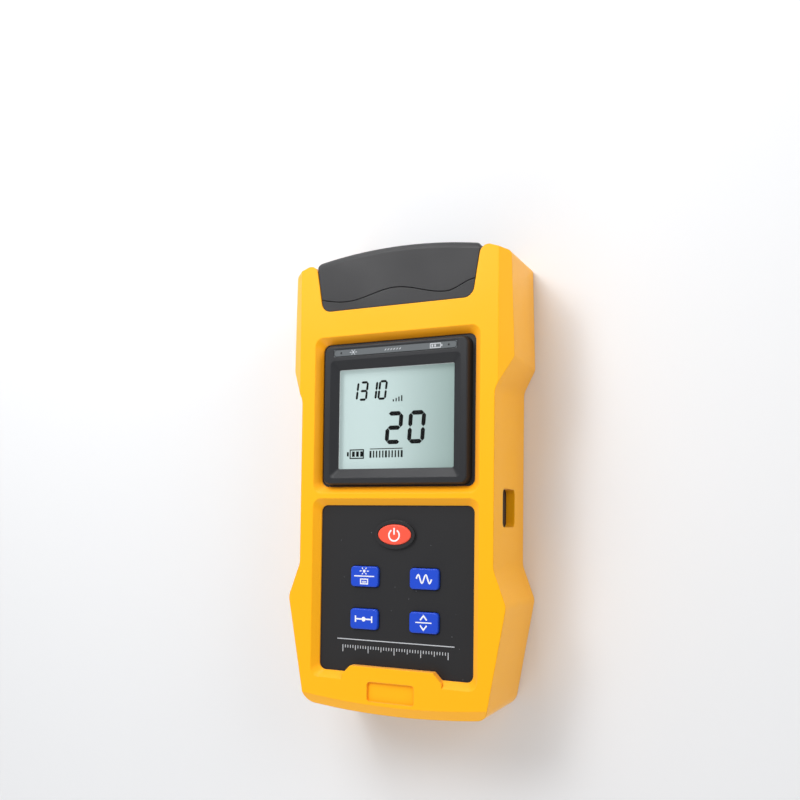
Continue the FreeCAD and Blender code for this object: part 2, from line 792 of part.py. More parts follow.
def make_light_detector():
    can_y = plate_y - port_tail
    foot_y = can_y - detector_height
    can = along(detector_radius, -port_spacing, port_z, foot_y, can_y)
    can = can.fuse(along(detector_radius + detector_rim, -port_spacing, port_z, foot_y, foot_y + 0.8))
    for step in (-1.2, 1.2):
        can = can.fuse(along(0.25, -port_spacing + step, port_z, foot_y - detector_leg, foot_y + 0.1))
    return can


def make_fault_port():
    port = along(port_radius, 0, port_z, plate_y - port_tail, plate_y + fault_step)
    port = port.fuse(along(fault_nose_radius, 0, port_z, plate_y + fault_step - 0.1, plate_y + port_reach))
    port = port.fuse(along(fault_flange_radius, 0, port_z, plate_y, plate_y + fault_flange_height))
    return clean(port.cut(ferrule_bore(0)))


def make_laser_module():
    high = plate_y - port_tail
    low = high - laser_length
    body = along(laser_radius, 0, port_z, low, high)
    return body.fuse(along(laser_tail_radius, 0, port_z, low - laser_tail, low))


def make_network_jack():
    x = jack_x
    half = jack_width / 2
    low_z = jack_low_z()
    front = plate_y + jack_reach
    jack = box(x - half, x + half, front - jack_depth, front, low_z, board_low_z)
    cavity_low = low_z + 1.6
    jack = jack.cut(box(x - 5.9, x + 5.9, front - 13, front + 1, cavity_low, cavity_low + 6.8))
    jack = jack.cut(box(x - 3.2, x + 3.2, front - 13, front + 1, cavity_low + 6.7, cavity_low + 8.2))
    return jack


def make_jack_contacts():
    pins = []
    low_z = jack_low_z() + 1.6
    front = plate_y + jack_reach
    for i in range(8):
        x = jack_x + (i - 3.5) * 1.02
        points = [Vector(x - 0.2, front - 13.0, low_z + 0.9), Vector(x - 0.2, front - 3.0, low_z),
                  Vector(x - 0.2, front - 3.0, low_z + 0.35), Vector(x - 0.2, front - 13.0, low_z + 1.3)]
        pins.append(Part.Face(Part.makePolygon(points + points[:1])).extrude(Vector(0.4, 0, 0)))
    return Part.makeCompound(pins)


# Display
def strip_y():
    return frame_high_y - strip_margin - strip_height / 2


def glass_corners(grow):
    return rectangle(glass_half + grow, glass_low_y - grow, glass_high_y + grow, 0.6)


def lcd_corners(grow):
    return glass_corners(lcd_margin + grow)


def make_display_frame():
    rim = rectangle(frame_half, frame_low_y, frame_high_y, 2.5)
    foot = inset(rim, -frame_foot)
    frame = taper(foot, face_z, rim, frame_front_z - 0.6)
    frame = frame.fuse(taper(rim, frame_front_z - 0.6, inset(rim, 0.4), frame_front_z))
    slope_top = rectangle(frame_half - frame_rim, frame_low_y + frame_chin, frame_high_y - frame_head, 1.6)
    frame = frame.cut(taper(glass_corners(0), lens_z + 0.3, slope_top, frame_front_z))
    frame = frame.cut(prism(glass_corners(0), face_z - 1, lens_z + 1))
    frame = frame.cut(prism(glass_corners(lens_overlap + 0.1), face_z - 1, lens_z))
    strip = strip_corners(0.05)
    frame = frame.cut(prism(strip, frame_front_z - strip_depth, frame_front_z + 1))
    for x in (-lamp_half, lamp_half):
        frame = frame.cut(upright(lamp_radius + 0.1, x, strip_y(), face_z - 1, frame_front_z))
    return clean(frame)


def strip_corners(grow):
    y = strip_y()
    return rectangle(strip_half + grow, y - strip_height / 2 - grow, y + strip_height / 2 + grow, 0.5)


def make_indicator_strip():
    return prism(strip_corners(0), frame_front_z - strip_depth, frame_front_z)


def make_lamp_guides():
    top = frame_front_z - strip_depth
    return Part.makeCompound([upright(lamp_radius, x, strip_y(), board_top_z + 0.9, top)
                              for x in (-lamp_half, lamp_half)])


def make_status_lamps():
    y = strip_y()
    return Part.makeCompound([box(x - 0.8, x + 0.8, y - 0.4, y + 0.4, board_top_z, board_top_z + 0.8)
                              for x in (-lamp_half, lamp_half)])


def make_display_lens():
    return prism(glass_corners(lens_overlap), lens_z - lens_thickness, lens_z)


def lcd_top_z():
    return face_z - 0.1


def make_lcd_panel():
    return prism(lcd_corners(0), lcd_top_z() - lcd_thickness, lcd_top_z())


# Tray that holds the panel over the board, with its light inside and a contact strip at each end
def make_lcd_tray():
    top = lcd_top_z() - lcd_thickness
    tray = prism(lcd_corners(0), board_top_z, top)
    tray = tray.cut(prism(backlight_corners(0.1), board_top_z + 1.0, top + 1))
    for low, high in contact_runs():
        tray = tray.cut(box(-glass_half - 0.1, glass_half + 0.1, low - 0.05, high + 0.05,
                            board_top_z - 1, top + 1))
    return tray


def backlight_corners(grow):
    return rectangle(glass_half + grow, glass_low_y + 2.6 - grow, glass_high_y - 2.6 + grow, 0)


def contact_runs():
    return [(glass_low_y + 0.2, glass_low_y + 1.8), (glass_high_y - 1.8, glass_high_y - 0.2)]


def make_lcd_backlight():
    return prism(backlight_corners(0), board_top_z + 1.0, lcd_top_z() - lcd_thickness)


def make_lcd_contacts():
    top = lcd_top_z() - lcd_thickness
    return Part.makeCompound([box(-glass_half, glass_half, low, high, board_top_z, top)
                              for low, high in contact_runs()])


# Keypad
def keypad_panel_corners(shrink):
    return rectangle(window_half + panel_margin - shrink, sill + 0.7 + shrink, bar_y - 0.7 - shrink, 2.0)


def small_keys():
    names = (("reference_key", -1, 0), ("unit_key", 1, 0), ("fault_key", -1, 1), ("wavelength_key", 1, 1))
    return [(name, side * key_pitch_x / 2, key_row_y + row * key_pitch_y) for name, side, row in names]


def key_outline(x, y, grow):
    half = key_height / 2 + grow
    return rectangle(key_width / 2 + grow, y - half, y + half, key_corner + grow, x)


def key_cutters(gap, low, high):
    cutters = [prism(key_outline(x, y, gap), low, high) for name, x, y in small_keys()]
    cutters.append(ellipse_prism(power_half_x + gap, power_half_y + gap, 0, power_y, low, high))
    return cutters


# Dark panel round the keys, with a raised oval rim round the power key
def make_keypad_panel():
    panel = prism(keypad_panel_corners(0.1), face_z - panel_thickness, face_z)
    rim_x = power_half_x + power_rim
    rim_y = power_half_y + power_rim
    panel = panel.fuse(ellipse_prism(rim_x, rim_y, 0, power_y, face_z - 0.5, face_z + power_rim_rise))
    for cutter in key_cutters(key_gap, face_z - 3, face_z + 3):
        panel = panel.cut(cutter)
    return clean(panel)


def soft_top(solid, top, radius):
    edges = [edge for edge in solid.Edges if abs(edge.BoundBox.ZMin - top) < 1e-4
             and abs(edge.BoundBox.ZMax - top) < 1e-4]
    return solid.makeFillet(radius, edges)


def pill(x, y):
    return upright(2.6, x, y, board_top_z + key_travel, flange_low_z() + 0.2)


def flange_low_z():
    return inner_front_z - 0.1 - flange_thickness


def make_small_key(x, y):
    top = face_z + key_rise
    cap = soft_top(prism(key_outline(x, y, 0), flange_low_z(), top), top, key_round)
    flange = prism(key_outline(x, y, flange_width), flange_low_z(), flange_low_z() + flange_thickness)
    return clean(cap.fuse([flange, pill(x, y)]))


# Oval cap whose top edge rounds over in steps of a quarter circle
def oval_cap(low, top):
    cap = ellipse_prism(power_half_x, power_half_y, 0, power_y, low, top - key_round)
    rings = []
    for turn in (0, 30, 60, 90):
        back = key_round * (1 - math.cos(math.radians(turn)))
        z = top - key_round + key_round * math.sin(math.radians(turn))
        oval = Part.Ellipse(Vector(0, power_y, z), power_half_x - back, power_half_y - back)
        rings.append(Part.Wire([oval.toShape()]))
    return cap.fuse(Part.makeLoft(rings, True, True))


def make_power_key():
    cap = oval_cap(flange_low_z(), face_z + power_rim_rise + power_key_rise)
    flange = ellipse_prism(power_half_x + flange_width, power_half_y + flange_width, 0, power_y,
                           flange_low_z(), flange_low_z() + flange_thickness)
    return clean(cap.fuse([flange, pill(0, power_y)]))


def all_keys():
    return [("power_key", 0, power_y)] + small_keys()


def mat_top_z():
    return board_top_z + mat_thickness


def make_keypad_mat():
    low = key_row_y - key_height / 2 - 5
    high = power_y + power_half_y + 5
    mat = prism(rectangle(key_pitch_x / 2 + key_width / 2 + 4, low, high, 2.0), board_top_z, mat_top_z())
    for name, x, y in all_keys():
        mat = mat.cut(upright(2.9, x, y, board_top_z - 1, mat_top_z() + 1))
    return mat


# Thin cone of silicone that carries a key and folds when it is pressed
def make_web(x, y):
    low = mat_top_z()
    high = flange_low_z()
    outer = Part.makeCone(4.2, 3.3, high - low, Vector(x, y, low))
    inner = Part.makeCone(4.2 - web_thickness, 3.3 - web_thickness, high - low, Vector(x, y, low))
    return outer.cut(inner)


# Board and what it carries
def make_main_board():
    low = sill + board_clearance
    high = plate_y - plate_thickness - board_margin
    board = prism(rectangle(board_half, low, high, 1.5), board_low_z, board_top_z)
    for side in (-1, 1):
        corner = side * (board_half + 5)
        low_y = notch_y - holster_wall - fit_gap - shell_wall - 0.5
        board = board.cut(box(corner - 9, corner + 9, low_y, big, 0, big))
    for x, y in board_screw_places():
        board = board.cut(upright(board_screw_radius + 0.25, x, y, board_low_z - 1, board_top_z + 1))
    return board


def make_board_screws():
    screws = []
    for x, y in board_screw_places():
        head = upright(1.9, x, y, board_low_z - 1.3, board_low_z)
        screws.append(head.fuse(upright(board_screw_radius, x, y, board_low_z, inner_front_z - 1.2)))
    return Part.makeCompound(screws)


def make_housing_screws():
    screws = []
    for x, y in shell_screw_places():
        seat = housing_z + screw_head_height + 0.6
        head = upright(screw_head_radius, x, y, housing_z + 0.6, seat)
        drive = box(x - 1.5, x + 1.5, y - 0.3, y + 0.3, housing_z, housing_z + 1.5)
        cross = box(x - 0.3, x + 0.3, y - 1.5, y + 1.5, housing_z, housing_z + 1.5)
        shank = upright(screw_radius, x, y, seat, inner_front_z - 3)
        screws.append(head.cut(drive.fuse(cross)).fuse(shank))
    return Part.makeCompound(screws)


def make_battery_cell():
    cell = along(cell_radius, 0, cell_z(), cell_low_y, cell_low_y + cell_length - 1.2)
    return cell.fuse(along(3.0, 0, cell_z(), cell_low_y + cell_length - 1.3, cell_low_y + cell_length))


def cell_z():
    return housing_z + shell_wall + 0.5 + cell_radius


def make_battery_contacts():
    plates = []
    low_z = housing_z + shell_wall + contact_lift
    for y in (cell_low_y - contact_thickness - 0.1, cell_low_y + cell_length + 0.1):
        plates.append(box(-contact_half, contact_half, y, y + contact_thickness, low_z, cell_z() + contact_rise))
    return Part.makeCompound(plates)


def make_battery_door():
    low = cell_low_y - door_foot
    high = cell_low_y + cell_length + door_head
    door = prism(rectangle(door_half, low + door_gap, high - door_gap, 2.3), housing_z, housing_z + door_step)
    plug = rectangle(cell_radius + 0.4, cell_low_y - 0.6, cell_low_y + cell_length + 0.6, 0.8)
    door = door.fuse(prism(plug, housing_z + door_step - 0.1, housing_z + shell_wall))
    for i in range(5):
        y = high - 8 - i * 2.4
        door = door.cut(prism(rectangle(6.5 - i * 0.9, y, y + 0.9, 0.4), housing_z - 1, housing_z + 0.5))
    door = door.cut(upright(1.1, 0, door_screw_place(), 0, big))
    return clean(door.cut(upright(2.0, 0, door_screw_place(), 0, housing_z + 0.7)))


def make_door_screw():
    y = door_screw_place()
    head = upright(1.9, 0, y, housing_z - 0.3, housing_z + 0.7)
    slot = box(-1.3, 1.3, y - 0.25, y + 0.25, housing_z - 1, housing_z + 0.2)
    slot = slot.fuse(box(-0.25, 0.25, y - 1.3, y + 1.3, housing_z - 1, housing_z + 0.2))
    return head.cut(slot).fuse(upright(0.9, 0, y, housing_z + 0.7, housing_z + 6.5))


def make_buzzer():
    low = board_low_z - buzzer_height
    x = buzzer_inset - board_half
    y = brow_y - buzzer_drop
    buzzer = upright(buzzer_radius, x, y, low, board_low_z)
    return buzzer.cut(upright(buzzer_hole, x, y, low - 1, low + 0.5))


def make_board_chips():
    chips = []
    for side, inset_x, above_sill, width, height in chip_places:
        centre_x = side * (board_half - inset_x)
        low_y = sill + above_sill
        chips.append(box(centre_x - width / 2, centre_x + width / 2, low_y, low_y + height,
                         board_low_z - chip_thickness, board_low_z))
    return Part.makeCompound(chips)


def save(name, shape):
    shape = shape.copy()
    shape.translate(Vector(0, -length / 2, 0))
    if not shape.isValid():
        print("not valid:", name)
    print(name, len(shape.Solids), "solids", round(shape.Volume, 1), "mm3")
    shape.exportStep("parts/" + name + ".step")


def main():
    os.makedirs("parts", exist_ok=True)
    save("holster", make_holster())
    save("front_housing", make_front_housing())
    save("rear_housing", make_rear_housing())
    save("dust_cover", make_dust_cover())
    save("cover_pin", make_cover_pin())
    save("end_plate", make_end_plate())
    save("optical_port", make_optical_port())
    save("fault_port", make_fault_port())
    save("port_nuts", make_port_nuts())
    save("light_detector", make_light_detector())
    save("laser_module", make_laser_module())
    save("network_jack", make_network_jack())
    save("jack_contacts", make_jack_contacts())
    save("charge_socket", make_charge_socket())
    save("charge_board", make_charge_board())
    save("display_frame", make_display_frame())
    save("indicator_strip", make_indicator_strip())
    save("lamp_guides", make_lamp_guides())
    save("status_lamps", make_status_lamps())
    save("display_lens", make_display_lens())
    save("lcd_panel", make_lcd_panel())
    save("lcd_tray", make_lcd_tray())
    save("lcd_backlight", make_lcd_backlight())
    save("lcd_contacts", make_lcd_contacts())
    save("keypad_panel", make_keypad_panel())
    save("power_key", make_power_key())
    for name, x, y in small_keys():
        save(name, make_small_key(x, y))
    save("keypad_mat", make_keypad_mat())
    for name, x, y in all_keys():
        save(name.replace("_key", "_web"), make_web(x, y))
    save("main_board", make_main_board())
    save("board_screws", make_board_screws())
    save("board_chips", make_board_chips())
    save("buzzer", make_buzzer())
    save("housing_screws", make_housing_screws())
    save("battery_cell", make_battery_cell())
    save("battery_contacts", make_battery_contacts())
    save("battery_door", make_battery_door())
    save("door_screw", make_door_screw())


main()
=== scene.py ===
import math

import bpy
import numpy as np
from mathutils import Matrix, Vector


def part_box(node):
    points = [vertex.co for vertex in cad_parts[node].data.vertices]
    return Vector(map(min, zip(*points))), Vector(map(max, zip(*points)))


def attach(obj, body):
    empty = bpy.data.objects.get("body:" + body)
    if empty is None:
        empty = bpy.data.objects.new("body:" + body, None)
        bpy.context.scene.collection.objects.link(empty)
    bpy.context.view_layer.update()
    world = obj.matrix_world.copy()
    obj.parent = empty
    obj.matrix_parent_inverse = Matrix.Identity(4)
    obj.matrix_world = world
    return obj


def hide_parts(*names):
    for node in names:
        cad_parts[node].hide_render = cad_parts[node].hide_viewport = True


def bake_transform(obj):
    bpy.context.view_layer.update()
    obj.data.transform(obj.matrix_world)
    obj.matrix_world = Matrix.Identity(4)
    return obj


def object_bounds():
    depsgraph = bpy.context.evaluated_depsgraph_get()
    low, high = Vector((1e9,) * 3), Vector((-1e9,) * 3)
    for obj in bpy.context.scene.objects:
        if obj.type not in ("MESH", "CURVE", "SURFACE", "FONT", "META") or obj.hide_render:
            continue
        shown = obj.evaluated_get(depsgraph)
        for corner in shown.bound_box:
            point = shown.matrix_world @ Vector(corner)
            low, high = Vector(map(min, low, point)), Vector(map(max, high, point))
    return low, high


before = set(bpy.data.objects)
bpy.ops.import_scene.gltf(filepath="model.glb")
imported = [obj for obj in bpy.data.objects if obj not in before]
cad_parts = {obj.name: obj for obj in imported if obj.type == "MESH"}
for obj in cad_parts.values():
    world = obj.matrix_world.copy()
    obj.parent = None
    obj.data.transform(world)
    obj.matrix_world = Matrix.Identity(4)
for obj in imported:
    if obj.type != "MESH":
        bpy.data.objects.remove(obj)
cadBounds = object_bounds()
mm = 0.001


def srgb(red, green, blue):
    # written 0 to 255, handed over as linear light
    values = np.array([red, green, blue]) / 255
    linear = np.where(values <= 0.04045, values / 12.92, ((values + 0.055) / 1.055) ** 2.4)
    return (*linear.tolist(), 1.0)


def fill(made, inputs):
    for label, value in inputs.items():
        made.inputs[label].default_value = value


def node(tree, kind, x=0, y=0, inputs=None, **settings):
    # a shader node at its place in the tree: its settings first, then the values of its inputs
    made = tree.nodes.new(kind)
    made.location = (x, y)
    for key, value in settings.items():
        setattr(made, key, value)
    fill(made, inputs or {})
    return made


def link(tree, source, target):
    tree.links.new(source, target)


def newMaterial(name):
    material = bpy.data.materials.new(name)
    material.use_nodes = True
    return material, material.node_tree, material.node_tree.nodes["Principled BSDF"]


def newPiece(name, points, faces, material):
    # an object at the origin, with its place in its mesh
    mesh = bpy.data.meshes.new(name)
    mesh.from_pydata(points.tolist(), [], faces)
    mesh.validate()
    mesh.materials.append(material)
    piece = bpy.data.objects.new(name, mesh)
    bpy.context.scene.collection.objects.link(piece)
    return piece


# shader groups that the finishes share

def newGroup(name, inputs, outputs):
    group = bpy.data.node_groups.new(name, "ShaderNodeTree")
    for label, kind, value in inputs:
        socket = group.interface.new_socket(name=label, in_out="INPUT", socket_type=kind)
        if value is not None:
            socket.default_value = value
    for label, kind in outputs:
        group.interface.new_socket(name=label, in_out="OUTPUT", socket_type=kind)
    return group, node(group, "NodeGroupInput", -800, 0), node(group, "NodeGroupOutput", 600, 0)


def makeMouldGrain():
    # spark-eroded mould texture: fine noise for the height, a slower one for the roughness
    group, entry, leave = newGroup(
        "mouldGrain",
        [("Scale", "NodeSocketFloat", 2600.0), ("Low", "NodeSocketFloat", 0.4),
         ("High", "NodeSocketFloat", 0.5)],
        [("Height", "NodeSocketFloat"), ("Roughness", "NodeSocketFloat")])
    place = node(group, "ShaderNodeTexCoord", -600, 0)
    fine = node(group, "ShaderNodeTexNoise", -300, 150, {"Detail": 3})
    slow = node(group, "ShaderNodeTexNoise", -300, -150, {"Scale": 55, "Detail": 4})
    spread = node(group, "ShaderNodeMapRange", 100, -150, {"From Min": 0.3, "From Max": 0.7})
    link(group, place.outputs["Object"], fine.inputs["Vector"])
    link(group, place.outputs["Object"], slow.inputs["Vector"])
    link(group, entry.outputs["Scale"], fine.inputs["Scale"])
    link(group, slow.outputs["Fac"], spread.inputs["Value"])
    link(group, entry.outputs["Low"], spread.inputs["To Min"])
    link(group, entry.outputs["High"], spread.inputs["To Max"])
    link(group, fine.outputs["Fac"], leave.inputs["Height"])
    link(group, spread.outputs["Result"], leave.inputs["Roughness"])
    return group


def makeColourDrift():
    # one colour that wanders slowly towards another over the surface
    group, entry, leave = newGroup(
        "colourDrift",
        [("Main", "NodeSocketColor", None), ("Second", "NodeSocketColor", None),
         ("Scale", "NodeSocketFloat", 30.0), ("Amount", "NodeSocketFloat", 0.3)],
        [("Color", "NodeSocketColor")])
    place = node(group, "ShaderNodeTexCoord", -600, 0)
    noise = node(group, "ShaderNodeTexNoise", -350, 0, {"Detail": 5})
    share = node(group, "ShaderNodeMath", -50, 0, operation="MULTIPLY")
    mix = node(group, "ShaderNodeMix", 250, 0, data_type="RGBA")
    link(group, place.outputs["Object"], noise.inputs["Vector"])
    link(group, entry.outputs["Scale"], noise.inputs["Scale"])
    link(group, noise.outputs["Fac"], share.inputs[0])
    link(group, entry.outputs["Amount"], share.inputs[1])
    link(group, share.outputs[0], mix.inputs["Factor"])
    link(group, entry.outputs["Main"], mix.inputs["A"])
    link(group, entry.outputs["Second"], mix.inputs["B"])
    link(group, mix.outputs["Result"], leave.inputs["Color"])
    return group


def makeSpecks():
    # sparse pale specks, such as dust and the glitter of a textured film
    group, entry, leave = newGroup(
        "specks",
        [("Scale", "NodeSocketFloat", 900.0), ("Size", "NodeSocketFloat", 0.12),
         ("Share", "NodeSocketFloat", 0.5)],
        [("Mask", "NodeSocketFloat")])
    place = node(group, "ShaderNodeTexCoord", -700, 0)
    cells = node(group, "ShaderNodeTexVoronoi", -450, 100)
    near = node(group, "ShaderNodeMath", -200, 100, operation="LESS_THAN")
    chosen = node(group, "ShaderNodeMath", -200, -100, operation="LESS_THAN")
    both = node(group, "ShaderNodeMath", 100, 0, operation="MULTIPLY")
    split = node(group, "ShaderNodeSeparateColor", -300, -250)
    link(group, place.outputs["Object"], cells.inputs["Vector"])
    link(group, entry.outputs["Scale"], cells.inputs["Scale"])
    link(group, cells.outputs["Distance"], near.inputs[0])
    link(group, entry.outputs["Size"], near.inputs[1])
    link(group, cells.outputs["Color"], split.inputs[0])
    link(group, split.outputs[0], chosen.inputs[0])
    link(group, entry.outputs["Share"], chosen.inputs[1])
    link(group, near.outputs[0], both.inputs[0])
    link(group, chosen.outputs[0], both.inputs[1])
    link(group, both.outputs[0], leave.inputs["Mask"])
    return group


def makePaintedShadeMask():
    # painted shade: 1 where the surface is closed in by its neighbours, 0 where it is open or near
    # the floor; it lays a shade colour into recesses
    group, entry, leave = newGroup(
        "paintedShadeMask",
        [("Reach", "NodeSocketFloat", 0.008), ("Above", "NodeSocketFloat", 0.012)],
        [("Mask", "NodeSocketFloat")])
    shade = node(group, "ShaderNodeAmbientOcclusion", -400, 0, samples=6)
    turn = node(group, "ShaderNodeMapRange", -100, 0, {"From Min": 0.97, "From Max": 0.45})
    place = node(group, "ShaderNodeTexCoord", -600, -300)
    split = node(group, "ShaderNodeSeparateXYZ", -400, -300)
    high = node(group, "ShaderNodeMath", -100, -300, operation="GREATER_THAN")
    both = node(group, "ShaderNodeMath", 200, 0, operation="MULTIPLY")
    link(group, entry.outputs["Reach"], shade.inputs["Distance"])
    link(group, shade.outputs["AO"], turn.inputs["Value"])
    link(group, place.outputs["Object"], split.inputs[0])
    link(group, split.outputs["Z"], high.inputs[0])
    link(group, entry.outputs["Above"], high.inputs[1])
    link(group, turn.outputs["Result"], both.inputs[0])
    link(group, high.outputs[0], both.inputs[1])
    link(group, both.outputs[0], leave.inputs["Mask"])
    return group


mouldGrain = makeMouldGrain()
paintedShadeMask = makePaintedShadeMask()
colourDrift = makeColourDrift()
specks = makeSpecks()
print("stage: shader groups")


# finishes: what every moulded piece has, unless its own row says otherwise
usualMoulding = dict(drift=0.5, driftScale=25, grain=0.25, grainScale=2600, grainDepth=0.00006,
                     spread=0.05, specular=0.5, coat=0.0, coatRoughness=0.15, sheen=0.0,
                     sheenRoughness=0.5)


def moulded(name, own):
    # plastic or rubber: drifting colour and moulded grain, and where its row asks for them, painted
    # shade (a deeper colour in the hollows, where shade falls), rounded edges and pale specks
    look = {**usualMoulding, **own}
    material, tree, shader = newMaterial(name)
    drift = node(tree, "ShaderNodeGroup", -700, 200,
                 {"Main": srgb(*look["colour"]), "Second": srgb(*look["second"]),
                  "Scale": look["driftScale"], "Amount": look["drift"]}, node_tree=colourDrift)
    colour = drift.outputs["Color"]
    # painted shade: the colour turns deeper where the surface is closed in
    if "paintedShadeColour" in look:
        shadeMaskNode = node(tree, "ShaderNodeGroup", -700, 700,
                       {"Reach": look["paintedShadeReach"], "Above": look["paintedShadeAbove"]},
                       node_tree=paintedShadeMask)
        shadeMix = node(tree, "ShaderNodeMix", -350, 600, {"B": srgb(*look["paintedShadeColour"])},
                      data_type="RGBA")
        link(tree, shadeMaskNode.outputs["Mask"], shadeMix.inputs["Factor"])
        link(tree, colour, shadeMix.inputs["A"])
        colour = shadeMix.outputs["Result"]
    grain = node(tree, "ShaderNodeGroup", -700, -150,
                 {"Scale": look["grainScale"], "Low": look["roughness"] - look["spread"],
                  "High": look["roughness"] + look["spread"]}, node_tree=mouldGrain)
    bump = node(tree, "ShaderNodeBump", -300, -300,
                {"Strength": look["grain"], "Distance": look["grainDepth"]})
    link(tree, grain.outputs["Height"], bump.inputs["Height"])
    link(tree, grain.outputs["Roughness"], shader.inputs["Roughness"])
    link(tree, bump.outputs["Normal"], shader.inputs["Normal"])
    if "round" in look:
        soft = node(tree, "ShaderNodeBevel", -500, -450, {"Radius": look["round"]}, samples=6)
        link(tree, soft.outputs["Normal"], bump.inputs["Normal"])
    if "specks" in look:
        dots = node(tree, "ShaderNodeGroup", -700, 450,
                    {"Scale": look["specks"], "Size": look["speckSize"],
                     "Share": look["speckShare"]}, node_tree=specks)
        mix = node(tree, "ShaderNodeMix", -350, 300, {"B": srgb(*look["speckColour"])},
                   data_type="RGBA")
        link(tree, dots.outputs["Mask"], mix.inputs["Factor"])
        link(tree, colour, mix.inputs["A"])
        colour = mix.outputs["Result"]
    link(tree, colour, shader.inputs["Base Color"])
    fill(shader, {"Specular IOR Level": look["specular"], "Coat Weight": look["coat"],
                  "Coat Roughness": look["coatRoughness"], "Sheen Weight": look["sheen"],
                  "Sheen Roughness": look["sheenRoughness"]})
    return material


# what every metal has; lines is the scale of its noise along x, y and z
usualMetal = dict(driftScale=400, lines=(200, 9000, 200), spread=0.08, lineDepth=0.00003,
                  lineStrength=0.15)


def metal(name, own):
    # turned metal: fine lines round a piece that lies along y, and a little tarnish
    look = {**usualMetal, **own}
    material, tree, shader = newMaterial(name)
    drift = node(tree, "ShaderNodeGroup", -700, 200,
                 {"Main": srgb(*look["colour"]), "Second": srgb(*look["second"]),
                  "Scale": look["driftScale"]}, node_tree=colourDrift)
    place = node(tree, "ShaderNodeTexCoord", -1100, -200)
    stretch = node(tree, "ShaderNodeMapping", -900, -200, {"Scale": look["lines"]})
    lines = node(tree, "ShaderNodeTexNoise", -650, -200, {"Scale": 1})
    spread = node(tree, "ShaderNodeMapRange", -400, -100,
                  {"To Min": look["roughness"] - look["spread"],
                   "To Max": look["roughness"] + look["spread"]})
    bump = node(tree, "ShaderNodeBump", -300, -350,
                {"Strength": look["lineStrength"], "Distance": look["lineDepth"]})
    link(tree, place.outputs["Object"], stretch.inputs["Vector"])
    link(tree, stretch.outputs["Vector"], lines.inputs["Vector"])
    link(tree, lines.outputs["Fac"], spread.inputs["Value"])
    link(tree, lines.outputs["Fac"], bump.inputs["Height"])
    link(tree, spread.outputs["Result"], shader.inputs["Roughness"])
    link(tree, bump.outputs["Normal"], shader.inputs["Normal"])
    link(tree, drift.outputs["Color"], shader.inputs["Base Color"])
    fill(shader, {"Metallic": 1.0})
    return material


# the colour turns from a quarter of the glass's width to a little past its right side
displayGlass = dict(left=(142, 157, 156), right=(102, 119, 116), turnFrom=0.25, turnPast=0.15,
                    glow=1.28, specular=0.3, grainScale=4000, smooth=0.45, rough=0.6)


def lcdGlass(name, look):
    # liquid crystal behind its polariser: a pale green-grey that shades across the glass and glows
    # as if backlit; the glow is partly painted light, strong enough to wash out the shade that the
    # frame casts on the sunken glass
    material, tree, shader = newMaterial(name)
    low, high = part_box("lcd_panel")
    width = high.x - low.x
    place = node(tree, "ShaderNodeTexCoord", -900, 0)
    split = node(tree, "ShaderNodeSeparateXYZ", -700, 0)
    across = node(tree, "ShaderNodeMapRange", -500, 100,
                  {"From Min": low.x + width * look["turnFrom"],
                   "From Max": high.x + width * look["turnPast"]}, interpolation_type="SMOOTHSTEP")
    mix = node(tree, "ShaderNodeMix", -250, 100,
               {"A": srgb(*look["left"]), "B": srgb(*look["right"])}, data_type="RGBA")
    grain = node(tree, "ShaderNodeGroup", -500, -200,
                 {"Scale": look["grainScale"], "Low": look["smooth"], "High": look["rough"]},
                 node_tree=mouldGrain)
    link(tree, place.outputs["Object"], split.inputs[0])
    link(tree, split.outputs["X"], across.inputs["Value"])
    link(tree, across.outputs["Result"], mix.inputs["Factor"])
    link(tree, mix.outputs["Result"], shader.inputs["Base Color"])
    link(tree, mix.outputs["Result"], shader.inputs["Emission Color"])
    link(tree, grain.outputs["Roughness"], shader.inputs["Roughness"])
    # painted light in part: the glow stands for the backlight and also washes out the frame's shade
    # on the glass
    fill(shader, {"Specular IOR Level": look["specular"], "Emission Strength": look["glow"]})
    return material


windowPlastic = dict(colour=(28, 32, 32), alpha=0.05, ior=1.49, grainScale=600, smooth=0.03,
                     rough=0.12)


def clearWindow(name, look):
    # thin clear plastic: seen through, with a faint gloss and slight scuffs
    material, tree, shader = newMaterial(name)
    grain = node(tree, "ShaderNodeGroup", -500, -200,
                 {"Scale": look["grainScale"], "Low": look["smooth"], "High": look["rough"]},
                 node_tree=mouldGrain)
    link(tree, grain.outputs["Roughness"], shader.inputs["Roughness"])
    fill(shader, {"Base Color": srgb(*look["colour"]), "Alpha": look["alpha"], "IOR": look["ior"]})
    return material


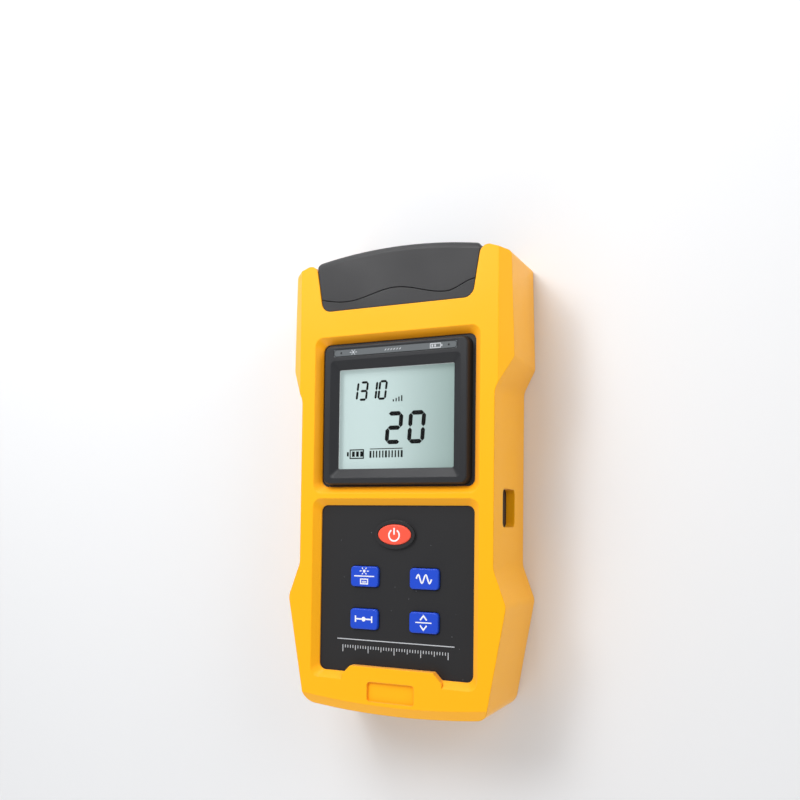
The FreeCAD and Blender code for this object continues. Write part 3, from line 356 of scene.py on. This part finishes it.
mouldedLooks = {
    # rubberYellow's hollow colour is painted shade, a deeper orange in its recesses
    "rubberYellow": dict(colour=(253, 179, 0), second=(250, 172, 0), roughness=0.41, grain=0.3,
                         round=0.0005, specular=0.2, sheen=0.14, paintedShadeColour=(255, 163, 0),
                         paintedShadeReach=0.007, paintedShadeAbove=0.016),
    "housingDark": dict(colour=(56, 56, 58), second=(50, 50, 52), roughness=0.5, round=0.0002,
                        specular=0.35),
    "coverGrey": dict(colour=(41, 41, 43), second=(37, 37, 39), roughness=0.42, round=0.0003,
                      specular=0.25),
    "frameDark": dict(colour=(38, 39, 42), second=(34, 35, 38), roughness=0.38, grain=0.12,
                      round=0.0005, specular=0.22),
    "stripGrey": dict(colour=(88, 93, 96), second=(82, 87, 90), roughness=0.4, grain=0.1,
                      specular=0.3),
    "panelDark": dict(colour=(31, 31, 33), second=(27, 27, 29), roughness=0.5, grain=0.45,
                      grainScale=3200, round=0.0004, specular=0.25, specks=700, speckSize=0.09,
                      speckShare=0.06, speckColour=(120, 122, 126)),
    "keyBlue": dict(colour=(20, 70, 198), second=(16, 62, 186), roughness=0.4, grain=0.15,
                    round=0.0002, specular=0.3),
    "keyRed": dict(colour=(238, 86, 64), second=(228, 77, 56), roughness=0.36, grain=0.12,
                   round=0.0002, specular=0.3),
    "inkWhite": dict(colour=(236, 238, 242), second=(224, 226, 230), roughness=0.5, grain=0.1),
    "inkGrey": dict(colour=(190, 193, 198), second=(176, 179, 184), roughness=0.5, grain=0.1),
    "lcdInk": dict(colour=(6, 8, 9), second=(10, 12, 13), roughness=0.7, grain=0.05, specular=0.1),
    # the colour of a painted highlight on the display window's edge
    "paintedEdgeHighlight": dict(colour=(214, 222, 222), second=(200, 210, 210), roughness=0.4, grain=0.1),
    "lampDark": dict(colour=(28, 30, 33), second=(36, 38, 42), roughness=0.2, grain=0.05),
    "boardGreen": dict(colour=(30, 104, 62), second=(24, 88, 52), roughness=0.35, grain=0.2,
                       coat=0.3),
    "chipBlack": dict(colour=(34, 34, 36), second=(42, 42, 44), roughness=0.5),
    "trayWhite": dict(colour=(232, 232, 228), second=(222, 222, 216), roughness=0.5),
    "silicone": dict(colour=(196, 198, 198), second=(184, 186, 186), roughness=0.55, sheen=0.1),
    "cellWrap": dict(colour=(70, 128, 150), second=(60, 116, 138), roughness=0.3, grain=0.05,
                     coat=0.3),
}
metalLooks = {
    "steel": dict(colour=(196, 197, 200), second=(176, 177, 180), roughness=0.28),
    "nickel": dict(colour=(206, 203, 196), second=(190, 186, 178), roughness=0.22),
    "brass": dict(colour=(206, 178, 112), second=(188, 158, 96), roughness=0.26),
}
finish = {name: moulded(name, look) for name, look in mouldedLooks.items()}
finish.update({name: metal(name, look) for name, look in metalLooks.items()})
finish["lcdGlass"] = lcdGlass("lcdGlass", displayGlass)
finish["clearWindow"] = clearWindow("clearWindow", windowPlastic)

# a node that isn't named here is a silicone cone or a blue key
finishOfNode = {
    "holster": "rubberYellow", "front_housing": "coverGrey", "rear_housing": "housingDark",
    "dust_cover": "coverGrey", "cover_pin": "steel", "end_plate": "housingDark",
    "optical_port": "nickel", "fault_port": "nickel", "port_nuts": "brass",
    "light_detector": "steel", "laser_module": "brass", "network_jack": "chipBlack",
    "jack_contacts": "brass", "charge_socket": "nickel", "charge_board": "boardGreen",
    "display_frame": "frameDark", "indicator_strip": "stripGrey", "lamp_guides": "trayWhite",
    "status_lamps": "trayWhite", "display_lens": "clearWindow", "lcd_panel": "lcdGlass",
    "lcd_tray": "trayWhite", "lcd_backlight": "trayWhite", "lcd_contacts": "silicone",
    "keypad_panel": "panelDark", "keypad_mat": "silicone", "main_board": "boardGreen",
    "board_screws": "steel", "board_chips": "chipBlack", "buzzer": "chipBlack",
    "housing_screws": "steel", "battery_cell": "cellWrap", "battery_contacts": "nickel",
    "battery_door": "housingDark", "door_screw": "steel", "power_key": "keyRed",
}
for name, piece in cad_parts.items():
    wanted = finishOfNode.get(name, "silicone" if name.endswith("_web") else "keyBlue")
    piece.data.materials.clear()
    piece.data.materials.append(finish[wanted])
print("stage: finishes on", len(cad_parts), "CAD pieces")


# printed marks: flat ribbons carried along paths, in millimetres on the face that they lie on
strokeLook = dict(sharpest=0.5, tip=0.04, discEnd=0.02, discSteps=13)


def ribbon(path, width, closed=False):
    # a thin rectangle, as wide as the path says at each point, carried along it and closed at its
    # ends; each corner = path point + side direction x half width, and its height is 0 or 1
    path = np.asarray(path, float)
    count = len(path)
    width = np.broadcast_to(np.asarray(width, float), (count,))
    if closed:
        ahead = np.roll(path, -1, 0) - path
        behind = path - np.roll(path, 1, 0)
    else:
        steps = np.diff(path, axis=0)
        ahead = np.vstack([steps, steps[-1:]])
        behind = np.vstack([steps[:1], steps])
    ahead = ahead / np.linalg.norm(ahead, axis=1, keepdims=True)
    behind = behind / np.linalg.norm(behind, axis=1, keepdims=True)
    middle = ahead + behind
    middle = middle / np.linalg.norm(middle, axis=1, keepdims=True)
    side = np.stack([-middle[:, 1], middle[:, 0]], 1)
    mitre = 1 / np.maximum((middle * ahead).sum(1), strokeLook["sharpest"])
    reach = side * (mitre * width / 2)[:, None]
    corners = np.zeros((count, 4, 3))
    corners[:, 0, :2] = corners[:, 1, :2] = path - reach
    corners[:, 2, :2] = corners[:, 3, :2] = path + reach
    corners[:, 1:3, 2] = 1
    rings = count if closed else count - 1
    row = np.arange(rings)[:, None]
    column = np.arange(4)[None, :]
    following = (row + 1) % count
    around = (column + 1) % 4
    faces = np.stack([row * 4 + column, row * 4 + around,
                      following * 4 + around, following * 4 + column], -1)
    faces = faces.reshape(-1, 4).tolist()
    if not closed:
        last = (count - 1) * 4
        faces += [[3, 2, 1, 0], [last, last + 1, last + 2, last + 3]]
    return corners.reshape(-1, 3), faces


def line(start, end, width, taper=0.0):
    # straight stroke, drawn to a point over the taper at each end
    start, end = np.array(start, float), np.array(end, float)
    if taper == 0:
        return ribbon([start, end], width)
    way = (end - start) / np.linalg.norm(end - start)
    tip = width * strokeLook["tip"]
    return ribbon([start, start + way * taper, end - way * taper, end], [tip, width, width, tip])


def arc(centre, radius, fromAngle, toAngle, width, steps):
    # points at even angles on a circle
    angles = np.radians(np.linspace(fromAngle, toAngle, steps))
    path = np.stack([centre[0] + radius * np.cos(angles), centre[1] + radius * np.sin(angles)], 1)
    return ribbon(path, width)


def disc(centre, radius):
    # width along a short path = the circle's own chord
    steps = strokeLook["discSteps"]
    along = radius * np.cos(np.linspace(math.pi, 0, steps))
    least = (radius * strokeLook["discEnd"]) ** 2
    chord = 2 * np.sqrt(np.maximum(radius ** 2 - along ** 2, least))
    return ribbon(np.stack([centre[0] + along, np.full(steps, centre[1])], 1), chord)


def frameLine(left, low, right, high, width):
    return ribbon([(left, low), (right, low), (right, high), (left, high)], width, closed=True)


def barRow(x, y, row):
    # upright bars side by side, where each may rise above the last, or every so many one be wide
    strokes = []
    for i in range(row["count"]):
        across = x + row["left"] + i * row["pitch"]
        top = y + row["high"] + i * row.get("rise", 0)
        wide = "wide" in row and i % row["every"] == 0
        strokes.append(line((across, y + row["low"]), (across, top),
                            row["wide"] if wide else row["width"]))
    return strokes


def lightSign(x, y, sign):
    # a dot with six rays, each from the inner oval to the outer one
    strokes = [disc((x, y), sign["dot"])]
    for angle in np.radians([0, 60, 120, 180, 240, 300]):
        way = np.array([math.cos(angle), math.sin(angle)])
        strokes.append(line((x, y) + way * sign["inner"], (x, y) + way * sign["outer"],
                            sign["ray"]))
    return strokes


def marks(name, strokes, height, thickness, body, material):
    # strokes joined in one mesh, which stands up from the height by its thickness
    points, faces, count = [], [], 0
    for corners, quads in strokes:
        points.append(corners)
        faces += (np.array(quads) + count).tolist()
        count += len(corners)
    points = np.concatenate(points) * (mm, mm, thickness)
    points[:, 2] += height
    piece = newPiece(name, points, faces, material)
    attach(piece, body)


def middleOf(nodeName):
    # the middle of a node in millimetres, and its top in metres
    low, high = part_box(nodeName)
    return (low.x + high.x) / 2 / mm, (low.y + high.y) / 2 / mm, high.z


segmentsOfDigit = {"0": "abcdef", "1": "bc", "2": "abged", "3": "abgcd", "4": "fgbc", "5": "afgcd",
                   "6": "afgedc", "7": "abc", "8": "abcdefg", "9": "abcdfg"}


def digits(x, y, figure):
    # seven slanted bars a digit: a top, b and c right, d bottom, e and f left, g middle
    strokes = []
    w, h, bar = figure["width"], figure["height"], figure["bar"]
    ends = {"a": ((0, h), (w, h)), "g": ((0, h / 2), (w, h / 2)), "d": ((0, 0), (w, 0)),
            "f": ((0, h / 2), (0, h)), "e": ((0, 0), (0, h / 2)),
            "b": ((w, h / 2), (w, h)), "c": ((w, 0), (w, h / 2))}
    lean = np.array([[1, 0], [figure["slant"], 1]])
    for place, digit in enumerate(figure["text"]):
        corner = (x + figure["left"] + place * figure["pitch"], y + figure["low"])
        for segment in segmentsOfDigit[digit]:
            start, end = np.array(ends[segment], float)
            way = (end - start) / np.linalg.norm(end - start)
            start, end = start + way * figure["gap"], end - way * figure["gap"]
            strokes.append(line(start @ lean + corner, end @ lean + corner, bar,
                                taper=bar * figure["taper"]))
    return strokes


# display: a small wavelength figure, a large reading, rising bars, a battery sign and a bar scale,
# with places counted from the middle of the glass
display = dict(
    lift=0.00004, thickness=0.00003,
    small=dict(text="1310", left=-19.9, low=7.5, width=2.75, height=6.5, bar=0.86, gap=0.06,
               slant=0.12, pitch=4.0, taper=0.5),
    large=dict(text="20", left=-4.2, low=-8.9, width=5.3, height=10.6, bar=1.6, gap=0.12,
               slant=0.07, pitch=9.2, taper=0.5),
    risingBars=dict(count=4, left=-1.6, low=6.2, high=7.0, pitch=1.15, rise=0.45, width=0.5),
    battery=dict(left=-19.6, low=-14.7, right=-13.9, high=-11.5, width=0.42),
    pole=dict(count=1, left=-20.6, low=-13.9, high=-12.3, pitch=0, width=0.75),
    charge=dict(count=3, left=-18.2, low=-14.1, high=-12.1, pitch=1.75, width=1.15),
    scale=dict(count=11, left=-10.9, low=-14.6, high=-12.0, pitch=1.3, width=0.55, every=5,
               wide=0.8),
    rule=dict(left=-11.2, right=2.4, y=-11.3, width=0.3),
    # a painted highlight along the window's edge, inset from it
    highlightInset=1.3, highlightWidth=0.2)


def makeDisplayMarks():
    x, y, top = middleOf("lcd_panel")
    battery, rule = display["battery"], display["rule"]
    strokes = digits(x, y, display["small"]) + digits(x, y, display["large"])
    for row in ("risingBars", "pole", "charge", "scale"):
        strokes += barRow(x, y, display[row])
    strokes += [frameLine(x + battery["left"], y + battery["low"], x + battery["right"],
                          y + battery["high"], battery["width"]),
                line((x + rule["left"], y + rule["y"]), (x + rule["right"], y + rule["y"]),
                     rule["width"])]
    marks("displayFigures", strokes, top + display["lift"], display["thickness"], "housing",
          finish["lcdInk"])
    # painted highlight: a pale ribbon along the window's left side and its head, where the cut edge
    # catches light
    low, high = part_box("display_lens")
    inset = display["highlightInset"]
    left, right = low.x / mm + inset, high.x / mm - inset
    foot, head = low.y / mm + inset, high.y / mm - inset
    highlightRibbon = ribbon([(left, foot), (left, head), (right, head)], display["highlightWidth"])
    marks("paintedWindowHighlight", [highlightRibbon], high.z, display["thickness"], "housing", finish["paintedEdgeHighlight"])


# keys: white signs on the caps, with places counted from the middle of each cap
keySigns = dict(
    thickness=0.00004, line=0.55, rule=0.42,
    power=dict(low=-0.2, radius=2.1, fromAngle=122, toAngle=418, steps=40, ring=0.58, stem=2.5,
               stemWidth=0.6),
    light=dict(y=2.05, dot=0.55, inner=(1.1, 0.85), outer=(1.9, 1.45), ray=0.34),
    plug=dict(half=1.5, low=-2.7, high=-0.95, width=0.4, ruleHalf=4.2, ruleY=0.15),
    contacts=dict(count=4, left=-0.75, low=-2.3, high=-1.6, pitch=0.5, width=0.3),
    wave=dict(half=3.0, height=1.5, steps=41),
    level=dict(near=0.8, far=3.1, post=3.4, postHalf=1.2, dot=0.85),
    arrows=dict(half=1.3, ruleHalf=3.2, ruleY=0.1, upper=(1.0, 2.6), lower=(-0.9, -2.5)))


def makeKeySign(nodeName, strokes):
    x, y, top = middleOf(nodeName)
    placed = [(corners + (x, y, 0), faces) for corners, faces in strokes]
    marks(nodeName.replace("_key", "Sign"), placed, top, keySigns["thickness"],
          nodeName.replace("_key", "_button"), finish["inkWhite"])


def makeKeySigns():
    width, rule = keySigns["line"], keySigns["rule"]
    # a broken ring and a stroke
    power = keySigns["power"]
    makeKeySign("power_key", [
        arc((0, power["low"]), power["radius"], power["fromAngle"], power["toAngle"],
            power["ring"], power["steps"]),
        line((0, 0), (0, power["stem"]), power["stemWidth"])])
    # a light over a network socket, parted by a rule
    light, plug = keySigns["light"], keySigns["plug"]
    makeKeySign("fault_key", lightSign(0, light["y"], light) + [
        line((-plug["ruleHalf"], plug["ruleY"]), (plug["ruleHalf"], plug["ruleY"]), rule),
        frameLine(-plug["half"], plug["low"], plug["half"], plug["high"], plug["width"])]
        + barRow(0, 0, keySigns["contacts"]))
    # two periods of a wave: height = sine of the way along
    wave = keySigns["wave"]
    t = np.linspace(-1, 1, wave["steps"])
    path = np.stack([wave["half"] * t, wave["height"] * np.sin(2 * math.pi * t)], 1)
    makeKeySign("wavelength_key", [ribbon(path, width)])
    # a level between two posts
    level = keySigns["level"]
    strokes = [disc((0, 0), level["dot"])]
    for side in (-1, 1):
        post = side * level["post"]
        strokes += [line((side * level["near"], 0), (side * level["far"], 0), width),
                    line((post, -level["postHalf"]), (post, level["postHalf"]), width)]
    makeKeySign("reference_key", strokes)
    # an arrow up over an arrow down, parted by a rule
    arrows = keySigns["arrows"]
    strokes = [line((-arrows["ruleHalf"], arrows["ruleY"]), (arrows["ruleHalf"], arrows["ruleY"]),
                    rule)]
    for foot, tip in (arrows["upper"], arrows["lower"]):
        strokes.append(ribbon([(-arrows["half"], foot), (0, tip), (arrows["half"], foot)], width))
    makeKeySign("unit_key", strokes)


# panel: a rule with a plain scale of ticks under it, with heights counted from the meter's bottom
# end; each pair in depths says how often a tick comes and how long it is
panelPrint = dict(plate=1.0, ruleY=26.75, ruleHalf=23.9, ruleWidth=0.34, scaleHalf=21.5,
                  scaleHigh=24.6, ticks=41, tickWidth=0.3, depths=((10, 2.6), (5, 1.8), (1, 1.1)),
                  thickness=0.00003)


def makePanelPrint():
    bottom = cadBounds[0][1] / mm
    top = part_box("keypad_panel")[0].z + panelPrint["plate"] * mm
    ruleY, high = bottom + panelPrint["ruleY"], bottom + panelPrint["scaleHigh"]
    half = panelPrint["ruleHalf"]
    strokes = [line((-half, ruleY), (half, ruleY), panelPrint["ruleWidth"])]
    xs = np.linspace(-panelPrint["scaleHalf"], panelPrint["scaleHalf"], panelPrint["ticks"])
    for i, x in enumerate(xs):
        depth = next(long for every, long in panelPrint["depths"] if i % every == 0)
        strokes.append(line((x, high - depth), (x, high), panelPrint["tickWidth"]))
    marks("panelScale", strokes, top, panelPrint["thickness"], "housing",
          finish["inkGrey"])


# indicator strip: two lamp windows, a dark edge and small signs, with places counted from the
# strip's left end, its middle or its right end
stripPrint = dict(
    thickness=0.00003, lampInset=3.2, lampRadius=0.42,
    edge=dict(inset=0.12, cut=0.7, width=0.26),
    light=dict(x=8.4, dot=0.42, inner=(0.8, 0.62), outer=(1.5, 1.0), ray=0.26),
    dashes=dict(count=6, left=-3.6, pitch=1.2, length=0.6, half=0.3, width=0.26),
    battery=dict(left=-10.4, right=-6.4, half=0.75, width=0.28),
    pole=dict(count=1, left=-5.9, low=-0.35, high=0.35, pitch=0, width=0.4),
    charge=dict(count=2, left=-9.6, low=-0.4, high=0.4, pitch=1.1, width=0.6))


def makeStripMarks():
    low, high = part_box("indicator_strip")
    y = (low.y + high.y) / 2 / mm
    left, right = low.x / mm, high.x / mm

    def put(name, strokes, look):
        marks(name, strokes, high.z, stripPrint["thickness"], "housing",
              finish[look])

    inset, radius = stripPrint["lampInset"], stripPrint["lampRadius"]
    put("lampWindows", [disc((left + inset, y), radius), disc((right - inset, y), radius)],
        "lampDark")
    # the edge's ring cuts off the strip's corners
    edge = stripPrint["edge"]
    near, far, cut = left + edge["inset"], right - edge["inset"], edge["cut"]
    foot, head = low.y / mm + edge["inset"], high.y / mm - edge["inset"]
    ring = [(near + cut, foot), (far - cut, foot), (far, foot + cut), (far, head - cut),
            (far - cut, head), (near + cut, head), (near, head - cut), (near, foot + cut)]
    put("stripEdge", [ribbon(ring, edge["width"], closed=True)], "frameDark")
    dashes, battery = stripPrint["dashes"], stripPrint["battery"]
    signs = lightSign(left + stripPrint["light"]["x"], y, stripPrint["light"])
    for i in range(dashes["count"]):
        start = dashes["left"] + i * dashes["pitch"]
        signs.append(line((start, y - dashes["half"]),
                          (start + dashes["length"], y + dashes["half"]), dashes["width"]))
    signs.append(frameLine(right + battery["left"], y - battery["half"], right + battery["right"],
                           y + battery["half"], battery["width"]))
    signs += barRow(right, y, stripPrint["pole"]) + barRow(right, y, stripPrint["charge"])
    put("stripSigns", signs, "inkGrey")


# thread on the optical port's nose: a low ridge carried along a helix from first to last behind
# the port's front, whose ends rise from the least share of its depth at the rate of runOut
thread = dict(radius=4.0, pitch=0.75, depth=0.28, foot=0.05, half=0.30, first=0.6, last=7.8,
              runOut=12, least=0.05, stepsPerTurn=40)


def makePortThread():
    # point = the port's axis + (radius + ridge height) at the angle of its turn, at its place along
    # the axis; the section is a low triangle whose foot is just inside the nose
    low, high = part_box("optical_port")
    cx, cz = (low.x + high.x) / 2, (low.z + high.z) / 2
    start, end = high.y - thread["last"] * mm, high.y - thread["first"] * mm
    turns = (end - start) / (thread["pitch"] * mm)
    steps = int(turns * thread["stepsPerTurn"])
    share = np.linspace(0, 1, steps)
    angle = 2 * math.pi * turns * share
    fade = np.clip(np.minimum(share, 1 - share) * thread["runOut"], thread["least"], 1)
    across = np.array([-thread["half"], 0.0, thread["half"]]) * mm
    out = np.array([-thread["foot"], thread["depth"], -thread["foot"]]) * mm
    y = start + (end - start) * share[:, None] + across[None, :]
    r = thread["radius"] * mm + out[None, :] * fade[:, None]
    points = np.stack([cx + r * np.cos(angle)[:, None], y, cz + r * np.sin(angle)[:, None]], -1)
    row = np.arange(steps - 1)[:, None]
    column = np.arange(3)[None, :]
    around = (column + 1) % 3
    faces = np.stack([row * 3 + column, (row + 1) * 3 + column,
                      (row + 1) * 3 + around, row * 3 + around], -1).reshape(-1, 4).tolist()
    faces += [[0, 1, 2], [steps * 3 - 1, steps * 3 - 2, steps * 3 - 3]]
    piece = newPiece("portThread", points.reshape(-1, 3), faces, finish["nickel"])
    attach(piece, "housing")


# silicone cones under the keys
skirt = dict(keys=("power", "reference", "unit", "fault", "wavelength"), foot=4.2, head=3.3,
             wall=0.4, rings=10, sides=56)


def makeKeySkirt(key):
    # a thin cone turned about the key's axis, in place of the key's web; radius = foot + (head -
    # foot) x share of the height, up the outside and down the inside
    low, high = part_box(key + "_web")
    centre = (low + high) / 2
    share = np.linspace(0, 1, skirt["rings"])
    outside = (skirt["foot"] + (skirt["head"] - skirt["foot"]) * share) * mm
    radius = np.concatenate([outside, outside[::-1] - skirt["wall"] * mm])[:, None]
    height = (low.z + (high.z - low.z) * np.concatenate([share, share[::-1]]))[:, None]
    angle = np.linspace(0, 2 * math.pi, skirt["sides"], endpoint=False)
    points = np.stack([centre.x + radius * np.cos(angle), centre.y + radius * np.sin(angle),
                       np.broadcast_to(height, (len(radius), len(angle)))], -1)
    row = np.arange(len(radius))[:, None] * len(angle)
    column = np.arange(len(angle))[None, :]
    above, beside = np.roll(row, -1, 0), np.roll(column, -1, 1)
    faces = np.stack([row + column, row + beside, above + beside, above + column], -1)
    piece = newPiece(key + "Skirt", points.reshape(-1, 3), faces.reshape(-1, 4).tolist(),
                     finish["silicone"])
    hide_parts(key + "_web")
    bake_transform(piece)


makeDisplayMarks()
makeKeySigns()
makePanelPrint()
makeStripMarks()
makePortThread()
for key in skirt["keys"]:
    makeKeySkirt(key)
print("stage: printed marks, thread and key skirts")


# floor, light and camera
stageLook = dict(size=8.0, colour=(226, 227, 229), roughness=0.6, specular=0.2, fadeStart=0.5,
                 fadeEnd=1.5, fade=0.42)


def seenRays(tree):
    # 1 for what the camera sees directly, in gloss or through glass, and 0 for light on the meter
    rays = node(tree, "ShaderNodeLightPath", -1000, -300)
    direct = node(tree, "ShaderNodeMath", -800, -300, operation="MAXIMUM")
    seen = node(tree, "ShaderNodeMath", -600, -300, operation="MAXIMUM")
    link(tree, rays.outputs["Is Camera Ray"], direct.inputs[0])
    link(tree, rays.outputs["Is Glossy Ray"], direct.inputs[1])
    link(tree, direct.outputs["Value"], seen.inputs[0])
    link(tree, rays.outputs["Is Transmission Ray"], seen.inputs[1])
    return seen.outputs["Value"]


def makeFloor():
    material, tree, shader = newMaterial("floorPale")
    fill(shader, {"Base Color": srgb(*stageLook["colour"]), "Roughness": stageLook["roughness"],
                  "Specular IOR Level": stageLook["specular"], "Emission Color": (1, 1, 1, 1)})
    # far from the meter the floor pales into the room behind it
    place = node(tree, "ShaderNodeTexCoord", -1000, 0)
    reach = node(tree, "ShaderNodeVectorMath", -800, 0, operation="LENGTH")
    fade = node(tree, "ShaderNodeMapRange", -600, 0,
                {"From Min": stageLook["fadeStart"], "From Max": stageLook["fadeEnd"],
                 "To Max": stageLook["fade"]}, interpolation_type="SMOOTHSTEP")
    glow = node(tree, "ShaderNodeMath", -400, -100, operation="MULTIPLY")
    link(tree, place.outputs["Object"], reach.inputs[0])
    link(tree, reach.outputs["Value"], fade.inputs["Value"])
    link(tree, fade.outputs["Result"], glow.inputs[0])
    link(tree, seenRays(tree), glow.inputs[1])
    link(tree, glow.outputs["Value"], shader.inputs["Emission Strength"])
    corners = np.array([(-1, -1, 0), (1, -1, 0), (1, 1, 0), (-1, 1, 0)]) * stageLook["size"] / 2
    newPiece("floor", corners, [(0, 1, 2, 3)], material)


lights = {
    "overhead": dict(place=(-0.14, 0.46, 0.42), aim=(0, 0.02, 0), size=0.34, power=2.0),
    "high": dict(place=(-0.32, 0.36, 0.62), aim=(0, 0.05, 0.03), size=0.24, power=1.5),
    "front": dict(place=(-0.22, -0.78, 0.40), aim=(0, 0, 0.01), size=0.6, power=2.1),
    "behind": dict(place=(-0.38, 0.90, 0.24), aim=(0, 0.08, 0.03), size=0.35, power=1.2),
    "side": dict(place=(0.75, 0.35, 0.36), aim=(0, 0, 0.02), size=0.5, power=2.1),
}


def makeLights():
    for name, look in lights.items():
        lamp = bpy.data.lights.new(name, "AREA")
        lamp.shape = "SQUARE"
        lamp.size = look["size"]
        lamp.energy = look["power"]
        held = bpy.data.objects.new(name, lamp)
        held.location = look["place"]
        aim = Vector(look["aim"]) - Vector(look["place"])
        held.rotation_euler = aim.to_track_quat("-Z", "Y").to_euler()
        bpy.context.scene.collection.objects.link(held)


roomLight = dict(given=0.52, seen=0.85)


def makeRoom():
    # seen directly, in gloss or through glass, the room is paler than the light that it gives
    world = bpy.data.worlds.new("studio")
    world.use_nodes = True
    tree = world.node_tree
    background = tree.nodes["Background"]
    fill(background, {"Color": (1, 1, 1, 1)})
    strength = node(tree, "ShaderNodeMapRange", -200, 0,
                    {"To Min": roomLight["given"], "To Max": roomLight["seen"]})
    link(tree, seenRays(tree), strength.inputs["Value"])
    link(tree, strength.outputs["Result"], background.inputs["Strength"])
    bpy.context.scene.world = world


# the camera stands over the meter's right side, with the connector end at the top of the view;
# its place is counted from the middle of the meter's bottom end
cameraLook = dict(place=(0.13624, 0.07184, 0.31023), right=(0.91188, 0.01131, -0.41030),
                  up=(0.00397, 0.99933, 0.03638), back=(0.41044, -0.03481, 0.91122),
                  lens=37.76, sensor=36.0, shift=(-0.0283, 0.1134), nearest=0.01)


def makeCamera():
    data = bpy.data.cameras.new("camera")
    data.sensor_width = cameraLook["sensor"]
    data.lens = cameraLook["lens"]
    data.shift_x, data.shift_y = cameraLook["shift"]
    data.clip_start = cameraLook["nearest"]
    turn = Matrix((cameraLook["right"], cameraLook["up"], cameraLook["back"])).transposed()
    camera = bpy.data.objects.new("camera", data)
    place = Vector(cameraLook["place"]) + Vector((0, cadBounds[0][1], 0))
    camera.matrix_world = Matrix.Translation(place) @ turn.to_quaternion().to_matrix().to_4x4()
    bpy.context.scene.collection.objects.link(camera)
    bpy.context.scene.camera = camera


makeFloor()
makeLights()
makeRoom()
makeCamera()
bpy.context.scene.view_settings.view_transform = "Standard"
print("stage: floor, light and camera")
